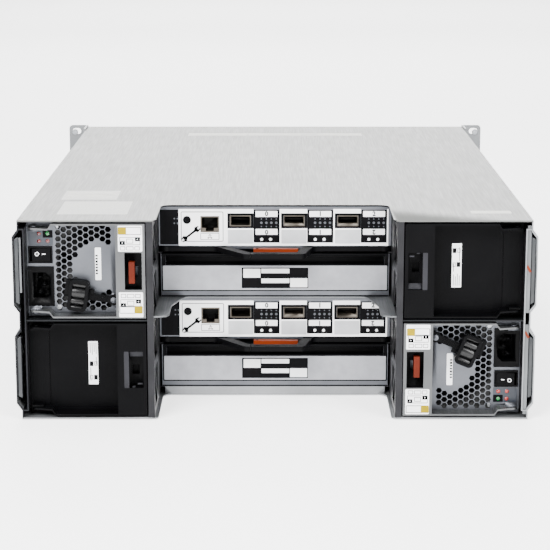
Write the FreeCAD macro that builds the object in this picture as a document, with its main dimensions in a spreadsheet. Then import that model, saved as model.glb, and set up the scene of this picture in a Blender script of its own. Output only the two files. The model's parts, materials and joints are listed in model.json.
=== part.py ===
import FreeCAD, Part
import math
import os
import re
import Sketcher

# A 4U disk shelf enclosure: 24 drive carriers in front of a midplane, and behind it two power
# cooling modules, two I/O modules and the fillers of the four free bays.
# +X is to the right seen from the rear, +Y runs from the rear to the drives, +Z is up.
# The origin is the centre of the underside. Lengths are millimetres, angles degrees.

V = FreeCAD.Vector
doc = FreeCAD.newDocument("disk_shelf_enclosure")

SIZES = (
    ("shelf_height", 175.0, "underside of the floor to the top of the cover"),
    ("body_width", 438.0, "outside of the side walls"),
    ("shelf_depth", 600.0, "rear edge of the side walls to the front flange"),
    ("sheet_steel", 1.2, "thickness of the chassis sheet"),
    ("fit_gap", 0.3, "gap between pieces that slide or rest on each other"),
    ("pin_gap", 0.05, "radial gap round a hinge pin"),
    ("recess_width", 202.0, "notch at the rear of the cover and the floor"),
    ("recess_depth", 75.0, "notch, from the rear edge to the I/O faces"),
    ("recess_corner", 9.0, "rounding of the inner corners of the notch"),
    ("notch_round", 5.0, "rounding of the outer corners of the notch"),
    ("bay_width", 208.0, "between the two partitions"),
    ("partition_thick", 5.5, "each double partition, across both skins"),
    ("liner_gap", 3.4, "hollow between the side wall and its liner"),
    ("liner_flange", 6.0, "liner edge below the cover and above the floor"),
    ("bulge_reach", 4.5, "how far the side wall swells out at a bail"),
    ("bulge_height", 74.0, "swelling, from end to end"),
    ("bulge_slope", 7.0, "sloping end of a swelling"),
    ("bulge_length", 46.0, "swelling, forward from the rear edge"),
    ("mid_shelf_top", 91.5, "top of the shelf between the I/O bays"),
    ("shelf_inset", 1.2, "shelf and decks, behind the rear edge of the walls"),
    ("wing_inner", 91.0, "inner edge of a shelf wing, from the middle"),
    ("wing_root", 82.0, "inner end of a shelf wing at the I/O faces"),
    ("wing_start", 34.0, "where a wing starts to narrow, from the I/O faces"),
    ("wing_round", 8.0, "rounding of a shelf wing"),
    ("ledge_reach", 3.0, "guide ledge, out of the partition"),
    ("ledge_thick", 1.0, "guide ledge, sheet"),
    ("lip_width", 199.0, "upright lip of the floor below the lower filler"),
    ("truss_lean", 30.0, "a pressed triangle, along the depth"),
    ("truss_rise", 33.0, "a pressed triangle, upwards"),
    ("truss_pitch", 41.8, "one pressed triangle to the next, upwards"),
    ("truss_margin", 7.0, "pressed triangles, from the rear edge and the floor"),
    ("truss_rib", 6.0, "rib between the two triangles of a pair"),
    ("truss_count", 4.0, "pairs of pressed triangles, one above another"),
    ("key_hole", 5.0, "square hole of a partition"),
    ("midplane_setback", 232.0, "front flange to the rear face of the midplane"),
    ("midplane_thick", 3.0, "midplane board"),
    ("midplane_margin", 3.0, "midplane edge to the cover and the floor"),
    ("connector_gap", 3.0, "front end of a rear module to the midplane"),
    ("vent_width", 88.0, "air slot of the midplane"),
    ("vent_height", 7.0, "air slot of the midplane"),
    ("socket_width", 41.0, "drive connector of the midplane"),
    ("socket_height", 6.0, "drive connector of the midplane"),
    ("socket_depth", 8.7, "drive connector of the midplane"),
    ("column_count", 4.0, "columns of drive carriers"),
    ("row_count", 6.0, "rows of drive carriers"),
    ("cage_sheet", 1.2, "uprights of the drive cage"),
    ("rail_reach", 4.0, "carrier rail, out of an upright"),
    ("rail_thick", 0.8, "carrier rail"),
    ("cage_inset", 4.0, "front edge of the cage, behind the front flange"),
    ("carrier_side_gap", 0.5, "carrier to an upright"),
    ("carrier_height", 27.0, "carrier, over all"),
    ("bezel_depth", 14.0, "front moulding of a carrier"),
    ("tray_sheet", 1.0, "tray of a carrier"),
    ("disk_width", 101.6, "disk, 3.5 inch form"),
    ("disk_height", 25.4, "disk, 3.5 inch form"),
    ("disk_length", 147.0, "disk, 3.5 inch form"),
    ("latch_width", 62.0, "lever in the face of a carrier"),
    ("latch_height", 15.0, "lever in the face of a carrier"),
    ("latch_depth", 5.0, "hollow for the lever of a carrier"),
    ("slot_width", 26.0, "air slot in the face of a carrier"),
    ("ear_width", 22.3, "rack flange, out of the side wall"),
    ("ear_height", 177.0, "rack flange"),
    ("ear_thick", 2.5, "rack flange"),
    ("ear_leg", 34.0, "rack flange, leg along the side wall"),
    ("ear_round", 4.0, "rounding of the rack flange"),
    ("ear_setback", 300.0, "rack flange, front face from the middle of the depth"),
    ("rack_pitch", 165.1, "upper to lower rack slot"),
    ("rack_span", 465.1, "left to right rack slot"),
    ("rack_slot_height", 7.0, "rack slot, height"),
    ("rack_slot_width", 10.0, "rack slot, width"),
    ("face_setback", 15.0, "power module face, from the rear edge"),
    ("face_sheet", 1.2, "perforated face of a power module"),
    ("service_centre", 11.6, "inlet and switch, from the outer side of the module"),
    ("inlet_drop", 16.1, "inlet centre below the middle of the bay"),
    ("inlet_width", 22.4, "inlet flange"),
    ("inlet_height", 34.7, "inlet flange"),
    ("inlet_rim", 1.2, "flange of the inlet, out of the face"),
    ("inlet_rim_width", 1.2, "flange of the inlet, beyond its housing"),
    ("plug_width", 16.4, "cavity for the plug"),
    ("plug_height", 24.6, "cavity for the plug"),
    ("plug_corner", 4.0, "cut corners of the cavity"),
    ("plug_depth", 16.0, "cavity for the plug"),
    ("blade_width", 2.0, "contact blade"),
    ("blade_height", 4.0, "contact blade"),
    ("blade_length", 10.0, "contact blade"),
    ("blade_pitch", 7.0, "outer contact blade to the middle"),
    ("blade_offset", 2.0, "contact blades off the centre line"),
    ("switch_rise", 11.65, "switch centre above the middle of the bay"),
    ("switch_width", 20.7, "switch frame"),
    ("switch_height", 14.8, "switch frame"),
    ("switch_rim", 1.5, "switch frame, out of the face"),
    ("switch_well_width", 18.2, "well of the switch frame"),
    ("switch_well_height", 11.4, "well of the switch frame"),
    ("switch_well_depth", 11.0, "well of the switch frame"),
    ("rocker_length", 15.6, "rocker, end to end"),
    ("rocker_height", 10.8, "rocker, along its pin"),
    ("rocker_crown", 6.8, "rocker ends, from the pin"),
    ("rocker_valley", 5.5, "rocker middle, from the pin"),
    ("rocker_root", 3.0, "rocker, below the pin"),
    ("rocker_tilt", 8.0, "rocker, each way from level"),
    ("rocker_pin", 1.2, "radius of the rocker pin"),
    ("rocker_pin_reach", 1.1, "rocker pin, out of the rocker"),
    ("rocker_pin_depth", 5.2, "rocker pin, in from the rim of the frame"),
    ("fan_rise", 0.55, "fan axis above the middle of the bay"),
    ("fan_offset", 62.2, "fan axis, from the outer side of the module"),
    ("tunnel_radius", 36.5, "air tunnel of the fan"),
    ("tunnel_depth", 34.0, "air tunnel of the fan"),
    ("fan_radius", 35.5, "tips of the fan blades"),
    ("fan_hub", 17.0, "radius of the fan hub"),
    ("fan_length", 18.0, "fan hub, along its axis"),
    ("fan_clear", 3.0, "perforated face to the fan hub"),
    ("fan_count", 7.0, "fan blades"),
    ("fan_blade", 1.4, "thickness of a fan blade"),
    ("fan_chord", 22.0, "fan blade at its tip, across"),
    ("fan_root_chord", 16.0, "fan blade at the hub, across"),
    ("fan_pitch_root", 48.0, "fan blade at the hub, from the axis"),
    ("fan_pitch_tip", 62.0, "fan blade at its tip, from the axis"),
    ("shaft_radius", 2.0, "fan shaft"),
    ("shaft_length", 7.0, "fan shaft, out of the hub"),
    ("boss_radius", 9.0, "fan shaft bearing"),
    ("hex_pitch", 5.5, "hexagon to the next one above"),
    ("hex_web", 0.8, "metal between two hexagons"),
    ("hub_disc", 20.0, "plain disc in the middle of the perforation"),
    ("grille_left", 24.2, "perforation, from the outer side of the module"),
    ("grille_right", 76.0, "perforation, from the outer side of the module"),
    ("grille_half", 38.6, "perforation, up and down from the middle"),
    ("bail_height", 82.1, "bail handle, top to bottom"),
    ("bail_sheet", 1.4, "bail handle, sheet"),
    ("bail_edge", 1.1, "bail grip to the partition"),
    ("grip_width", 25.1, "grip strip of the bail"),
    ("grip_hem", 8.0, "folded edge of the grip strip"),
    ("window_width", 14.7, "window of the grip strip"),
    ("window_height", 32.3, "window of the grip strip"),
    ("window_edge", 2.8, "window to the free edge of the grip strip"),
    ("arm_joggle", 4.3, "step of a bail arm at its pin end"),
    ("joggle_start", 19.9, "end of the step, from the outer side of the module"),
    ("joggle_run", 3.0, "length of the step"),
    ("arm_front", 286.6, "front edge of a bail arm, from the middle of the depth"),
    ("lug_radius", 4.9, "pin end of a bail arm"),
    ("bail_pin_x", 6.9, "bail pin, from the outer side of the module"),
    ("bail_pin_y", 9.0, "bail pin, from the rear edge of the walls"),
    ("bail_pin", 1.5, "radius of the bail pin"),
    ("pin_head", 2.6, "radius of the head of a pin"),
    ("pin_head_thick", 1.0, "thickness of the head of a pin"),
    ("ear_plate", 1.7, "plate that carries a bail pin"),
    ("well_wall", 1.2, "wall of the moulded finger well"),
    ("well_depth", 9.6, "finger well, behind the grip strip"),
    ("well_floor", 1.5, "floor of the finger well"),
    ("catch_width", 5.0, "thumb latch"),
    ("catch_height", 18.6, "thumb latch"),
    ("catch_offset", 5.8, "thumb latch middle, from the inner edge of the window"),
    ("catch_drop", 1.85, "thumb latch centre below the middle of the window"),
    ("catch_travel", 3.5, "thumb latch, towards the free edge"),
    ("catch_stem", 8.0, "height of the latch stem"),
    ("catch_stem_width", 2.4, "width of the latch stem"),
    ("catch_proud", 1.0, "thumb latch, below the mouth of the well"),
    ("clip_x", 74.2, "cord clip pin, from the outer side of the module"),
    ("clip_drop", 26.95, "cord clip pin below the middle of the bay"),
    ("clip_post", 3.0, "radius of the post of the cord clip"),
    ("clip_post_length", 3.7, "post of the cord clip, out of the face"),
    ("clip_pin", 1.6, "radius of the pin of the cord clip"),
    ("clip_eye", 4.6, "eye of the cord clip, outside radius"),
    ("clip_thick", 3.0, "strap of the cord clip"),
    ("clip_strap", 5.6, "height of the strap"),
    ("clip_reach", 22.0, "pin to the loop of the cord clip"),
    ("loop_width", 17.0, "loop of the cord clip"),
    ("loop_height", 27.0, "loop of the cord clip"),
    ("loop_wall", 2.8, "wall of the loop"),
    ("loop_depth", 8.5, "loop of the cord clip, along the cord"),
    ("loop_round", 4.0, "rounding of the loop"),
    ("clip_tab", 4.0, "thumb tab of the cord clip"),
    ("clip_angle_upper", 8.4, "cord clip of the upper module, above level"),
    ("clip_angle_lower", 22.7, "cord clip of the lower module, below level"),
    ("filler_depth", 120.0, "power module filler"),
    ("filler_wall", 2.0, "moulded wall of a power module filler"),
    ("filler_dish", 1.2, "shallow hollow in the face of a filler"),
    ("filler_dish_edge", 5.0, "edge round the hollow of a filler"),
    ("iom_width", 206.8, "I/O module"),
    ("iom_height", 41.1, "I/O module"),
    ("lever_zone", 5.9, "slot for the levers, above the I/O module's underside"),
    ("lever_zone_depth", 14.0, "slot for the levers, behind the face"),
    ("lever_thick", 4.4, "lever of an I/O module"),
    ("lever_lift", 0.5, "lever above the I/O module's underside"),
    ("lever_pin_x", 98.0, "lever pin, from the middle"),
    ("lever_pin_y", 5.3, "lever pin, in front of the I/O face"),
    ("lever_lug", 5.0, "pin end of a lever"),
    ("lever_pin", 1.8, "radius of a lever pin"),
    ("lever_arm", 8.5, "width of a lever"),
    ("lever_split", -21.5, "where the two levers meet"),
    ("lever_bow", 33.0, "bow of the levers, behind the I/O face"),
    ("bow_left", -53.0, "left root of the bow"),
    ("bow_right", 34.0, "right root of the bow"),
    ("bow_slope_left", 26.0, "run of the slanted left side of the bow"),
    ("bow_slope_right", 8.0, "run of the slanted right side of the bow"),
    ("lever_round", 6.0, "rounding of a lever"),
    ("web_thick", 1.2, "plate of the right lever below its trigger"),
    ("trigger_left", -19.0, "left end of the trigger"),
    ("trigger_right", 20.5, "right end of the trigger"),
    ("trigger_width", 6.0, "trigger at its pin"),
    ("trigger_tip", 3.6, "trigger at its free end"),
    ("trigger_back", 12.0, "trigger, behind the I/O face"),
    ("trigger_pin", 1.2, "radius of the trigger pin"),
    ("trigger_thick", 3.6, "trigger, up and down"),
    ("trigger_angle", 5.0, "travel of the trigger"),
    ("port_pitch", 47.75, "one cable port to the next"),
    ("port_first", -30.8, "centre of the first cable port"),
    ("port_drop", 12.65, "cable port centre below the top of the I/O module"),
    ("port_width", 18.6, "cable port cage"),
    ("port_height", 9.6, "cable port cage"),
    ("port_depth", 24.0, "cable port cage"),
    ("port_wall", 0.8, "sheet of a cable port cage"),
    ("port_proud", 1.0, "cable port cage, out of the face"),
    ("tongue_thick", 1.6, "tongue inside a cable port"),
    ("tongue_length", 12.0, "tongue inside a cable port"),
    ("net_x", -58.0, "centre of the network socket"),
    ("net_drop", 15.8, "network socket centre below the top of the I/O module"),
    ("net_width", 16.8, "network socket"),
    ("net_height", 14.8, "network socket"),
    ("net_wall", 1.2, "sheet of the network socket"),
    ("net_depth", 15.0, "network socket"),
    ("jack_x", -78.3, "centre of the service jack"),
    ("jack_drop", 11.9, "service jack centre below the top of the I/O module"),
    ("jack_radius", 3.6, "service jack"),
    ("jack_bore", 1.75, "bore of the service jack"),
    ("jack_depth", 12.0, "service jack"),
    ("blank_width", 204.0, "I/O filler"),
    ("blank_depth", 105.0, "I/O filler"),
    ("blank_sheet", 1.5, "sheet of an I/O filler"),
    ("pull_height", 9.0, "finger hollow along the top of an I/O filler"),
    ("pull_edge", 1.5, "finger hollow below the top of an I/O filler"),
    ("pull_depth", 7.0, "finger hollow of an I/O filler"),
    ("pull_margin", 4.0, "finger hollow to the side of an I/O filler"),
)

sheet = doc.addObject("Spreadsheet::Sheet", "size")
for row, (alias, number, meaning) in enumerate(SIZES, start=1):
    sheet.set(f"A{row}", meaning)
    sheet.set(f"B{row}", str(number))
    sheet.setAlias(f"B{row}", alias)
doc.recompute()
ALIASES = {alias for alias, number, meaning in SIZES}
probe = doc.addObject("Part::Box", "probe")


# ---------------------------------------------------------------- ways to build a piece

def sized(expression):
    """The expression with every name of a size pointed at the sheet."""
    def cell(word):
        return "size." + word[0] if word[0] in ALIASES else word[0]
    return re.sub(r"[a-z_][a-z_0-9]*", cell, str(expression))


def value(expression):
    """The number that an expression of the sheet's names stands for."""
    return float(probe.evalExpression(sized(expression)))


def place(thing, x, y, z):
    """Binds the three coordinates of a placement."""
    for axis, expression in zip("xyz", (x, y, z)):
        thing.setExpression(f".Placement.Base.{axis}", sized(expression))


def block(name, x, y, z):
    """A block between pairs of limits along X, Y and Z."""
    thing = doc.addObject("Part::Box", name)
    place(thing, x[0], y[0], z[0])
    for side, (low, high) in zip(("Length", "Width", "Height"), (x, y, z)):
        thing.setExpression(side, sized(f"({high}) - ({low})"))
    return thing


def rod(name, axis, x, y, z, radius):
    """A round bar; the coordinate along its axis is a pair of limits."""
    thing = doc.addObject("Part::Cylinder", name)
    turn = {"x": (V(0, 1, 0), 90), "y": (V(1, 0, 0), -90), "z": (V(0, 0, 1), 0)}[axis]
    thing.Placement = FreeCAD.Placement(V(), FreeCAD.Rotation(*turn))
    where = {"x": x, "y": y, "z": z}
    low, high = where[axis]
    where[axis] = low
    place(thing, where["x"], where["y"], where["z"])
    thing.setExpression("Radius", sized(radius))
    thing.setExpression("Height", sized(f"({high}) - ({low})"))
    return thing


def several(kind, name, pieces):
    """One Part object over a list of pieces: Part::MultiFuse or Part::Compound."""
    thing = doc.addObject(kind, name)
    thing.setPropertyStatus("Placement", "-ReadOnly")
    setattr(thing, "Shapes" if kind == "Part::MultiFuse" else "Links", pieces)
    return thing


def fuse(name, *pieces):
    return several("Part::MultiFuse", name, list(pieces))


def together(name, *pieces):
    return several("Part::Compound", name, list(pieces))


def cut(name, base, *tools):
    thing = doc.addObject("Part::Cut", name)
    thing.Base = base
    thing.Tool = tools[0] if len(tools) == 1 else together(name + "_tools", *tools)
    return thing


def moved(name, piece, x=0, y=0, z=0, axis=(0, 1, 0), angle=0):
    """A copy of a piece, turned about an axis through the origin and then shifted."""
    thing = together(name, piece)
    thing.Placement = FreeCAD.Placement(V(), FreeCAD.Rotation(V(*axis), 0))
    thing.setExpression(".Placement.Rotation.Angle", sized(angle))
    place(thing, x, y, z)
    return thing


def outline(body, name, plane, at, loops, circles):
    """A sketch on an origin plane of the body, with each corner dimensioned from the origin."""
    drawing = body.newObject("Sketcher::SketchObject", name)
    origin_plane = next(p for p in body.Origin.OriginFeatures if p.Role == plane + "_Plane")
    drawing.AttachmentSupport = [(origin_plane, "")]
    drawing.MapMode = "FlatFace"
    drawing.setExpression(".AttachmentOffset.Base.z",
                          sized(f"-({at})" if plane == "XZ" else at))

    def dimension(kind, line, point, expression):
        number = drawing.addConstraint(
            Sketcher.Constraint(kind, -1, 1, line, point, value(expression)))
        drawing.setExpression(f"Constraints[{number}]", sized(expression))

    for corners in loops:
        first = drawing.GeometryCount
        spots = [V(value(x), value(y), 0) for x, y in corners]
        for here, there in zip(spots, spots[1:] + spots[:1]):
            drawing.addGeometry(Part.LineSegment(here, there), False)
        for step, (x, y) in enumerate(corners):
            following = first + (step + 1) % len(corners)
            drawing.addConstraint(
                Sketcher.Constraint("Coincident", first + step, 2, following, 1))
            dimension("DistanceX", first + step, 1, x)
            dimension("DistanceY", first + step, 1, y)
    for x, y, radius in circles:
        centre = V(value(x), value(y), 0)
        line = drawing.addGeometry(Part.Circle(centre, V(0, 0, 1), value(radius)), False)
        dimension("DistanceX", line, 3, x)
        dimension("DistanceY", line, 3, y)
        number = drawing.addConstraint(Sketcher.Constraint("Radius", line, value(radius)))
        drawing.setExpression(f"Constraints[{number}]", sized(radius))
    return drawing


def extrude(body, kind, name, plane, limits, loops, circles=()):
    """A Pad or Pocket of a sketch between two limits along the axis across its plane."""
    low, high = limits
    from_low = (kind == "Pad") != (plane == "XZ")
    drawing = outline(body, name + "_sketch", plane, low if from_low else high, loops, circles)
    feature = body.newObject("PartDesign::" + kind, name)
    feature.Profile = drawing
    feature.setExpression("Length", sized(f"({high}) - ({low})"))
    body.Tip = feature
    return feature


def rectangle(x, y):
    return [(x[0], y[0]), (x[1], y[0]), (x[1], y[1]), (x[0], y[1])]


def round_edges(body, name, radius, wanted):
    """A fillet on the edges of the body's last feature that the test picks."""
    doc.recompute()
    base = body.Tip
    edges = [f"Edge{number}" for number, edge in enumerate(base.Shape.Edges, start=1)
             if wanted(edge, edge.CenterOfMass)]
    feature = body.newObject("PartDesign::Fillet", name)
    feature.Base = (base, edges)
    feature.setExpression("Radius", sized(radius))
    body.Tip = feature
    return feature


def along(edge, axis):
    """Whether an edge is a straight one along X, Y or Z."""
    box = edge.BoundBox
    spans = {"x": box.XLength, "y": box.YLength, "z": box.ZLength}
    return all((span > 0.01) == (name == axis) for name, span in spans.items())


def near(number, expression):
    return abs(number - value(expression)) < 0.01


def new_body(name):
    return doc.addObject("PartDesign::Body", name)


# ---------------------------------------------------------------- shared places

REAR = "(-shelf_depth/2)"
FRONT = "(shelf_depth/2)"
IO_FACE = "(-shelf_depth/2 + recess_depth)"
FACE = "(-shelf_depth/2 + face_setback)"
WALL_IN = "(body_width/2 - sheet_steel)"
LINER_IN = "(body_width/2 - sheet_steel*2 - liner_gap)"
COVER_UNDER = "(shelf_height - sheet_steel)"
PARTITION_IN = "(bay_width/2)"
PARTITION_OUT = "(bay_width/2 + partition_thick)"
BOARD_REAR = "(shelf_depth/2 - midplane_setback)"
BOARD_FRONT = "(shelf_depth/2 - midplane_setback + midplane_thick)"
MODULE_END = "(shelf_depth/2 - midplane_setback - connector_gap)"
DECK_TOP = "(shelf_height/2 + sheet_steel/2)"
DECK_UNDER = "(shelf_height/2 - sheet_steel/2)"
BAY_MIDDLE = "(shelf_height*3/4 - sheet_steel/4)"
BAY_PITCH = "(shelf_height/2 - sheet_steel/2)"
STACK_PITCH = "(shelf_height - mid_shelf_top)"
PCM_OUTER = "(fit_gap - (body_width/2 - sheet_steel*2 - liner_gap))"
PCM_INNER = "(-(bay_width/2 + partition_thick) - fit_gap)"
PCM_BOTTOM = "(shelf_height/2 + sheet_steel/2 + fit_gap)"
PCM_TOP = "(shelf_height - sheet_steel - fit_gap)"
CELL_PITCH = "((body_width - sheet_steel*2 - cage_sheet)/column_count)"
ROW_PITCH = "((shelf_height - sheet_steel*2)/row_count)"
IOM_TOP = "(shelf_height - sheet_steel - fit_gap)"
IOM_BOTTOM = "(shelf_height - sheet_steel - fit_gap - iom_height)"


def minus(expression):
    return f"(-({expression}))"


# ---------------------------------------------------------------- chassis

def chassis_base():
    """Floor, side walls with their swellings, liners and the lip below the lower filler."""
    body = new_body("base_tray")
    outer, inner = "body_width/2", WALL_IN
    extrude(body, "Pad", "tray", "XZ", (REAR, FRONT), [[
        (minus(outer), "0"), (outer, "0"), (outer, COVER_UNDER), (inner, COVER_UNDER),
        (inner, "sheet_steel"), (minus(inner), "sheet_steel"),
        (minus(inner), COVER_UNDER), (minus(outer), COVER_UNDER)]])
    extrude(body, "Pocket", "floor_notch", "XY", ("0", "sheet_steel"),
            [rectangle(("-recess_width/2", "recess_width/2"), (REAR, IO_FACE))])
    round_notch(body)
    for side, sign in (("left", "-"), ("right", "")):
        for level in (BAY_MIDDLE, f"({BAY_MIDDLE} - {BAY_PITCH})"):
            tag = side + ("_upper" if level == BAY_MIDDLE else "_lower")
            swelling(body, tag, sign, level)
    tray = body

    parts = [tray]
    for side, sign in (("left", "-"), ("right", "")):
        liner = new_body("liner_" + side)
        wall, skin = f"{sign}{WALL_IN}", f"{sign}{LINER_IN}"
        web = f"{sign}({LINER_IN} + sheet_steel)"
        top, bottom = f"({COVER_UNDER} - liner_flange)", "(sheet_steel + liner_flange)"
        extrude(liner, "Pad", "liner_profile_" + side, "XZ", (REAR, MODULE_END), [[
            (skin, bottom), (wall, bottom), (wall, f"{bottom} + sheet_steel"),
            (web, f"{bottom} + sheet_steel"), (web, f"{top} - sheet_steel"),
            (wall, f"{top} - sheet_steel"), (wall, top), (skin, top)]])
        parts.append(liner)
    lip = block("floor_lip", ("-lip_width/2", "lip_width/2"),
                (IO_FACE, f"{IO_FACE} + sheet_steel"),
                ("sheet_steel", f"mid_shelf_top - {STACK_PITCH}"))
    parts.append(lip)
    return fuse("chassis_base", *parts)


def round_notch(body):
    """Rounds the four corners of the notch: the inner two and the two at the rear edge."""
    half = value("recess_width/2")

    def inner(edge, spot):
        return along(edge, "z") and near(spot.y, IO_FACE) and near(abs(spot.x), half)

    def outer(edge, spot):
        return along(edge, "z") and near(spot.y, REAR) and near(abs(spot.x), half)

    round_edges(body, body.Name + "_inner_corners", "recess_corner", inner)
    round_edges(body, body.Name + "_outer_corners", "notch_round", outer)


def swelling(body, tag, sign, level):
    """The side wall pressed outwards beside a bail, open towards the module and the rear."""
    def shape(inset, reach_in, reach_out):
        high, slope = f"(bulge_height/2 - {inset})", "bulge_slope"
        return [(f"{sign}({reach_in})", f"{level} - {high}"),
                (f"{sign}({reach_out})", f"{level} - {high} + {slope}"),
                (f"{sign}({reach_out})", f"{level} + {high} - {slope}"),
                (f"{sign}({reach_in})", f"{level} + {high}")]
    depth = f"({REAR} + bulge_length)"
    extrude(body, "Pad", "swell_" + tag, "XZ", (REAR, depth),
            [shape("0", "body_width/2 - sheet_steel/2", "body_width/2 + bulge_reach")])
    extrude(body, "Pocket", "hollow_" + tag, "XZ", (REAR, f"{depth} - sheet_steel"),
            [shape("sheet_steel", "body_width/2 - sheet_steel*2",
                   "body_width/2 + bulge_reach - sheet_steel")])


def top_cover():
    body = new_body("top_cover")
    extrude(body, "Pad", "cover_sheet", "XY", (COVER_UNDER, "shelf_height"),
            [rectangle(("-body_width/2", "body_width/2"), (REAR, FRONT))])
    extrude(body, "Pocket", "cover_notch", "XY", (COVER_UNDER, "shelf_height"),
            [rectangle(("-recess_width/2", "recess_width/2"), (REAR, IO_FACE))])
    round_notch(body)
    return body


def partition(side, sign):
    """Double wall between a power bay and the I/O bay: trusses pressed into the inner skin,
    a square key hole half way up each bay and the ledges that carry the I/O modules."""
    body = new_body("bay_partition_" + side)
    inner, outer = f"{sign}{PARTITION_IN}", f"{sign}{PARTITION_OUT}"
    extrude(body, "Pad", "wall_" + side, "XY", ("sheet_steel", COVER_UNDER),
            [rectangle((inner, outer), (REAR, MODULE_END))])
    skin = (f"{sign}({PARTITION_IN} - 1)", f"{sign}({PARTITION_OUT} - sheet_steel)")
    if sign:
        skin = skin[1], skin[0]
    low, lean, rise, rib = "truss_margin", "truss_lean", "truss_rise", "truss_rib"
    start = f"({REAR} + truss_margin)"
    for step in range(int(value("truss_count"))):
        bottom = f"(sheet_steel + {low} + truss_pitch*{step})"
        extrude(body, "Pocket", f"truss_{side}_{step}", "YZ", skin, [
            [(start, bottom), (f"{start} + {lean}", bottom), (start, f"{bottom} + {rise}")],
            [(f"{start} + {lean} + {rib}", bottom),
             (f"{start} + {lean} + {rib}", f"{bottom} + {rise}"),
             (f"{start} + {rib}", f"{bottom} + {rise}")]])
    through = (skin[0], outer) if not sign else (outer, skin[1])
    holes = [rectangle((f"{start} + {lean} + {rib}*2", f"{start} + {lean} + {rib}*2 + key_hole"),
                       (f"{level} - key_hole/2", f"{level} + key_hole/2"))
             for level in (BAY_MIDDLE, f"({BAY_MIDDLE} - {BAY_PITCH})")]
    extrude(body, "Pocket", "key_holes_" + side, "YZ", through, holes)
    ledges = []
    for place_name, top in (("upper", f"({IOM_BOTTOM} - fit_gap)"),
                            ("lower", f"({IOM_BOTTOM} - fit_gap - {STACK_PITCH})"),
                            ("foot", f"(mid_shelf_top - {STACK_PITCH})")):
        limits = (inner, f"{sign}({PARTITION_IN} - ledge_reach)")
        if not sign:
            limits = limits[1], limits[0]
        ledges.append(block(f"ledge_{side}_{place_name}", limits,
                            (f"{IO_FACE} + sheet_steel*2", MODULE_END),
                            (f"{top} - ledge_thick", top)))
    return fuse("partition_" + side, body, *ledges)


def module_shelves():
    """The shelf between the I/O bays, with its two wings, and the decks of the power bays."""
    body = new_body("mid_shelf")
    edge = f"({REAR} + shelf_inset)"
    right = [(PARTITION_IN, MODULE_END), (PARTITION_IN, edge), ("wing_inner", edge),
             ("wing_inner", f"{IO_FACE} - wing_start"), ("wing_root", IO_FACE)]
    left = [(minus(x), y) for x, y in reversed(right)]
    extrude(body, "Pad", "shelf_sheet", "XY", ("mid_shelf_top - sheet_steel", "mid_shelf_top"),
            [right + left])

    def wing_corner(edge_found, spot):
        return along(edge_found, "z") and (
            near(abs(spot.x), "wing_inner") or near(abs(spot.x), "wing_root"))

    round_edges(body, "wing_corners", "wing_round", wing_corner)
    decks = [block("deck_" + side, limits, (edge, MODULE_END), (DECK_UNDER, DECK_TOP))
             for side, limits in (("left", (minus(LINER_IN), minus(PARTITION_OUT))),
                                  ("right", (PARTITION_OUT, LINER_IN)))]
    return together("shelves", body, *decks)


def midplane():
    """The board between drives and modules, with air slots and the drive connectors."""
    body = new_body("midplane")
    half = f"({WALL_IN} - fit_gap)"
    extrude(body, "Pad", "board", "XZ", (BOARD_REAR, BOARD_FRONT),
            [rectangle((minus(half), half), ("sheet_steel + midplane_margin",
                                             f"{COVER_UNDER} - midplane_margin"))])
    slots = []
    for column in range(int(value("column_count"))):
        middle = f"(({column} + 0.5 - column_count/2)*{CELL_PITCH})"
        for row in range(1, int(value("row_count"))):
            level = f"(sheet_steel + {row}*{ROW_PITCH})"
            slots.append(rectangle((f"{middle} - vent_width/2", f"{middle} + vent_width/2"),
                                   (f"{level} - vent_height/2", f"{level} + vent_height/2")))
    extrude(body, "Pocket", "air_slots", "XZ", (BOARD_REAR, BOARD_FRONT), slots)
    sockets = []
    for column in range(int(value("column_count"))):
        middle = f"(({column} + 0.5 - column_count/2)*{CELL_PITCH})"
        for row in range(int(value("row_count"))):
            level = f"(sheet_steel + ({row} + 0.5)*{ROW_PITCH})"
            sockets.append(block(
                f"socket_{column}_{row}",
                (f"{middle} - socket_width/2", f"{middle} + socket_width/2"),
                (BOARD_FRONT, f"{BOARD_FRONT} + socket_depth"),
                (f"{level} - socket_height/2", f"{level} + socket_height/2")))
    return fuse("midplane_board", body, *sockets)


def drive_cage():
    """Uprights between the columns of carriers, each with a rail below every carrier."""
    uprights = []
    count = int(value("column_count"))
    for number in range(count + 1):
        middle = f"(({number} - column_count/2)*{CELL_PITCH})"
        low, high = f"({middle} - cage_sheet/2)", f"({middle} + cage_sheet/2)"
        body = new_body(f"upright_{number}")
        extrude(body, "Pad", f"upright_plate_{number}", "YZ", (low, high),
                [rectangle((BOARD_FRONT, f"{FRONT} - cage_inset"), ("sheet_steel", COVER_UNDER))])
        reach = (low if number == 0 else f"{low} - rail_reach",
                 high if number == count else f"{high} + rail_reach")
        rail = extrude(body, "Pad", f"rail_{number}", "YZ", reach, [rectangle(
            (f"{BOARD_FRONT} + socket_depth", f"{FRONT} - cage_inset"),
            ("sheet_steel", "sheet_steel + rail_thick"))])
        rows = body.newObject("PartDesign::LinearPattern", f"rails_{number}")
        rows.Originals = [rail]
        rows.Direction = (next(axis for axis in body.Origin.OriginFeatures
                               if axis.Role == "Z_Axis"), [""])
        rows.setExpression("Length", sized(f"{ROW_PITCH}*(row_count - 1)"))
        rows.setExpression("Occurrences", sized("row_count"))
        body.Tip = rows
        uprights.append(body)
    return together("cage", *uprights)


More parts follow.
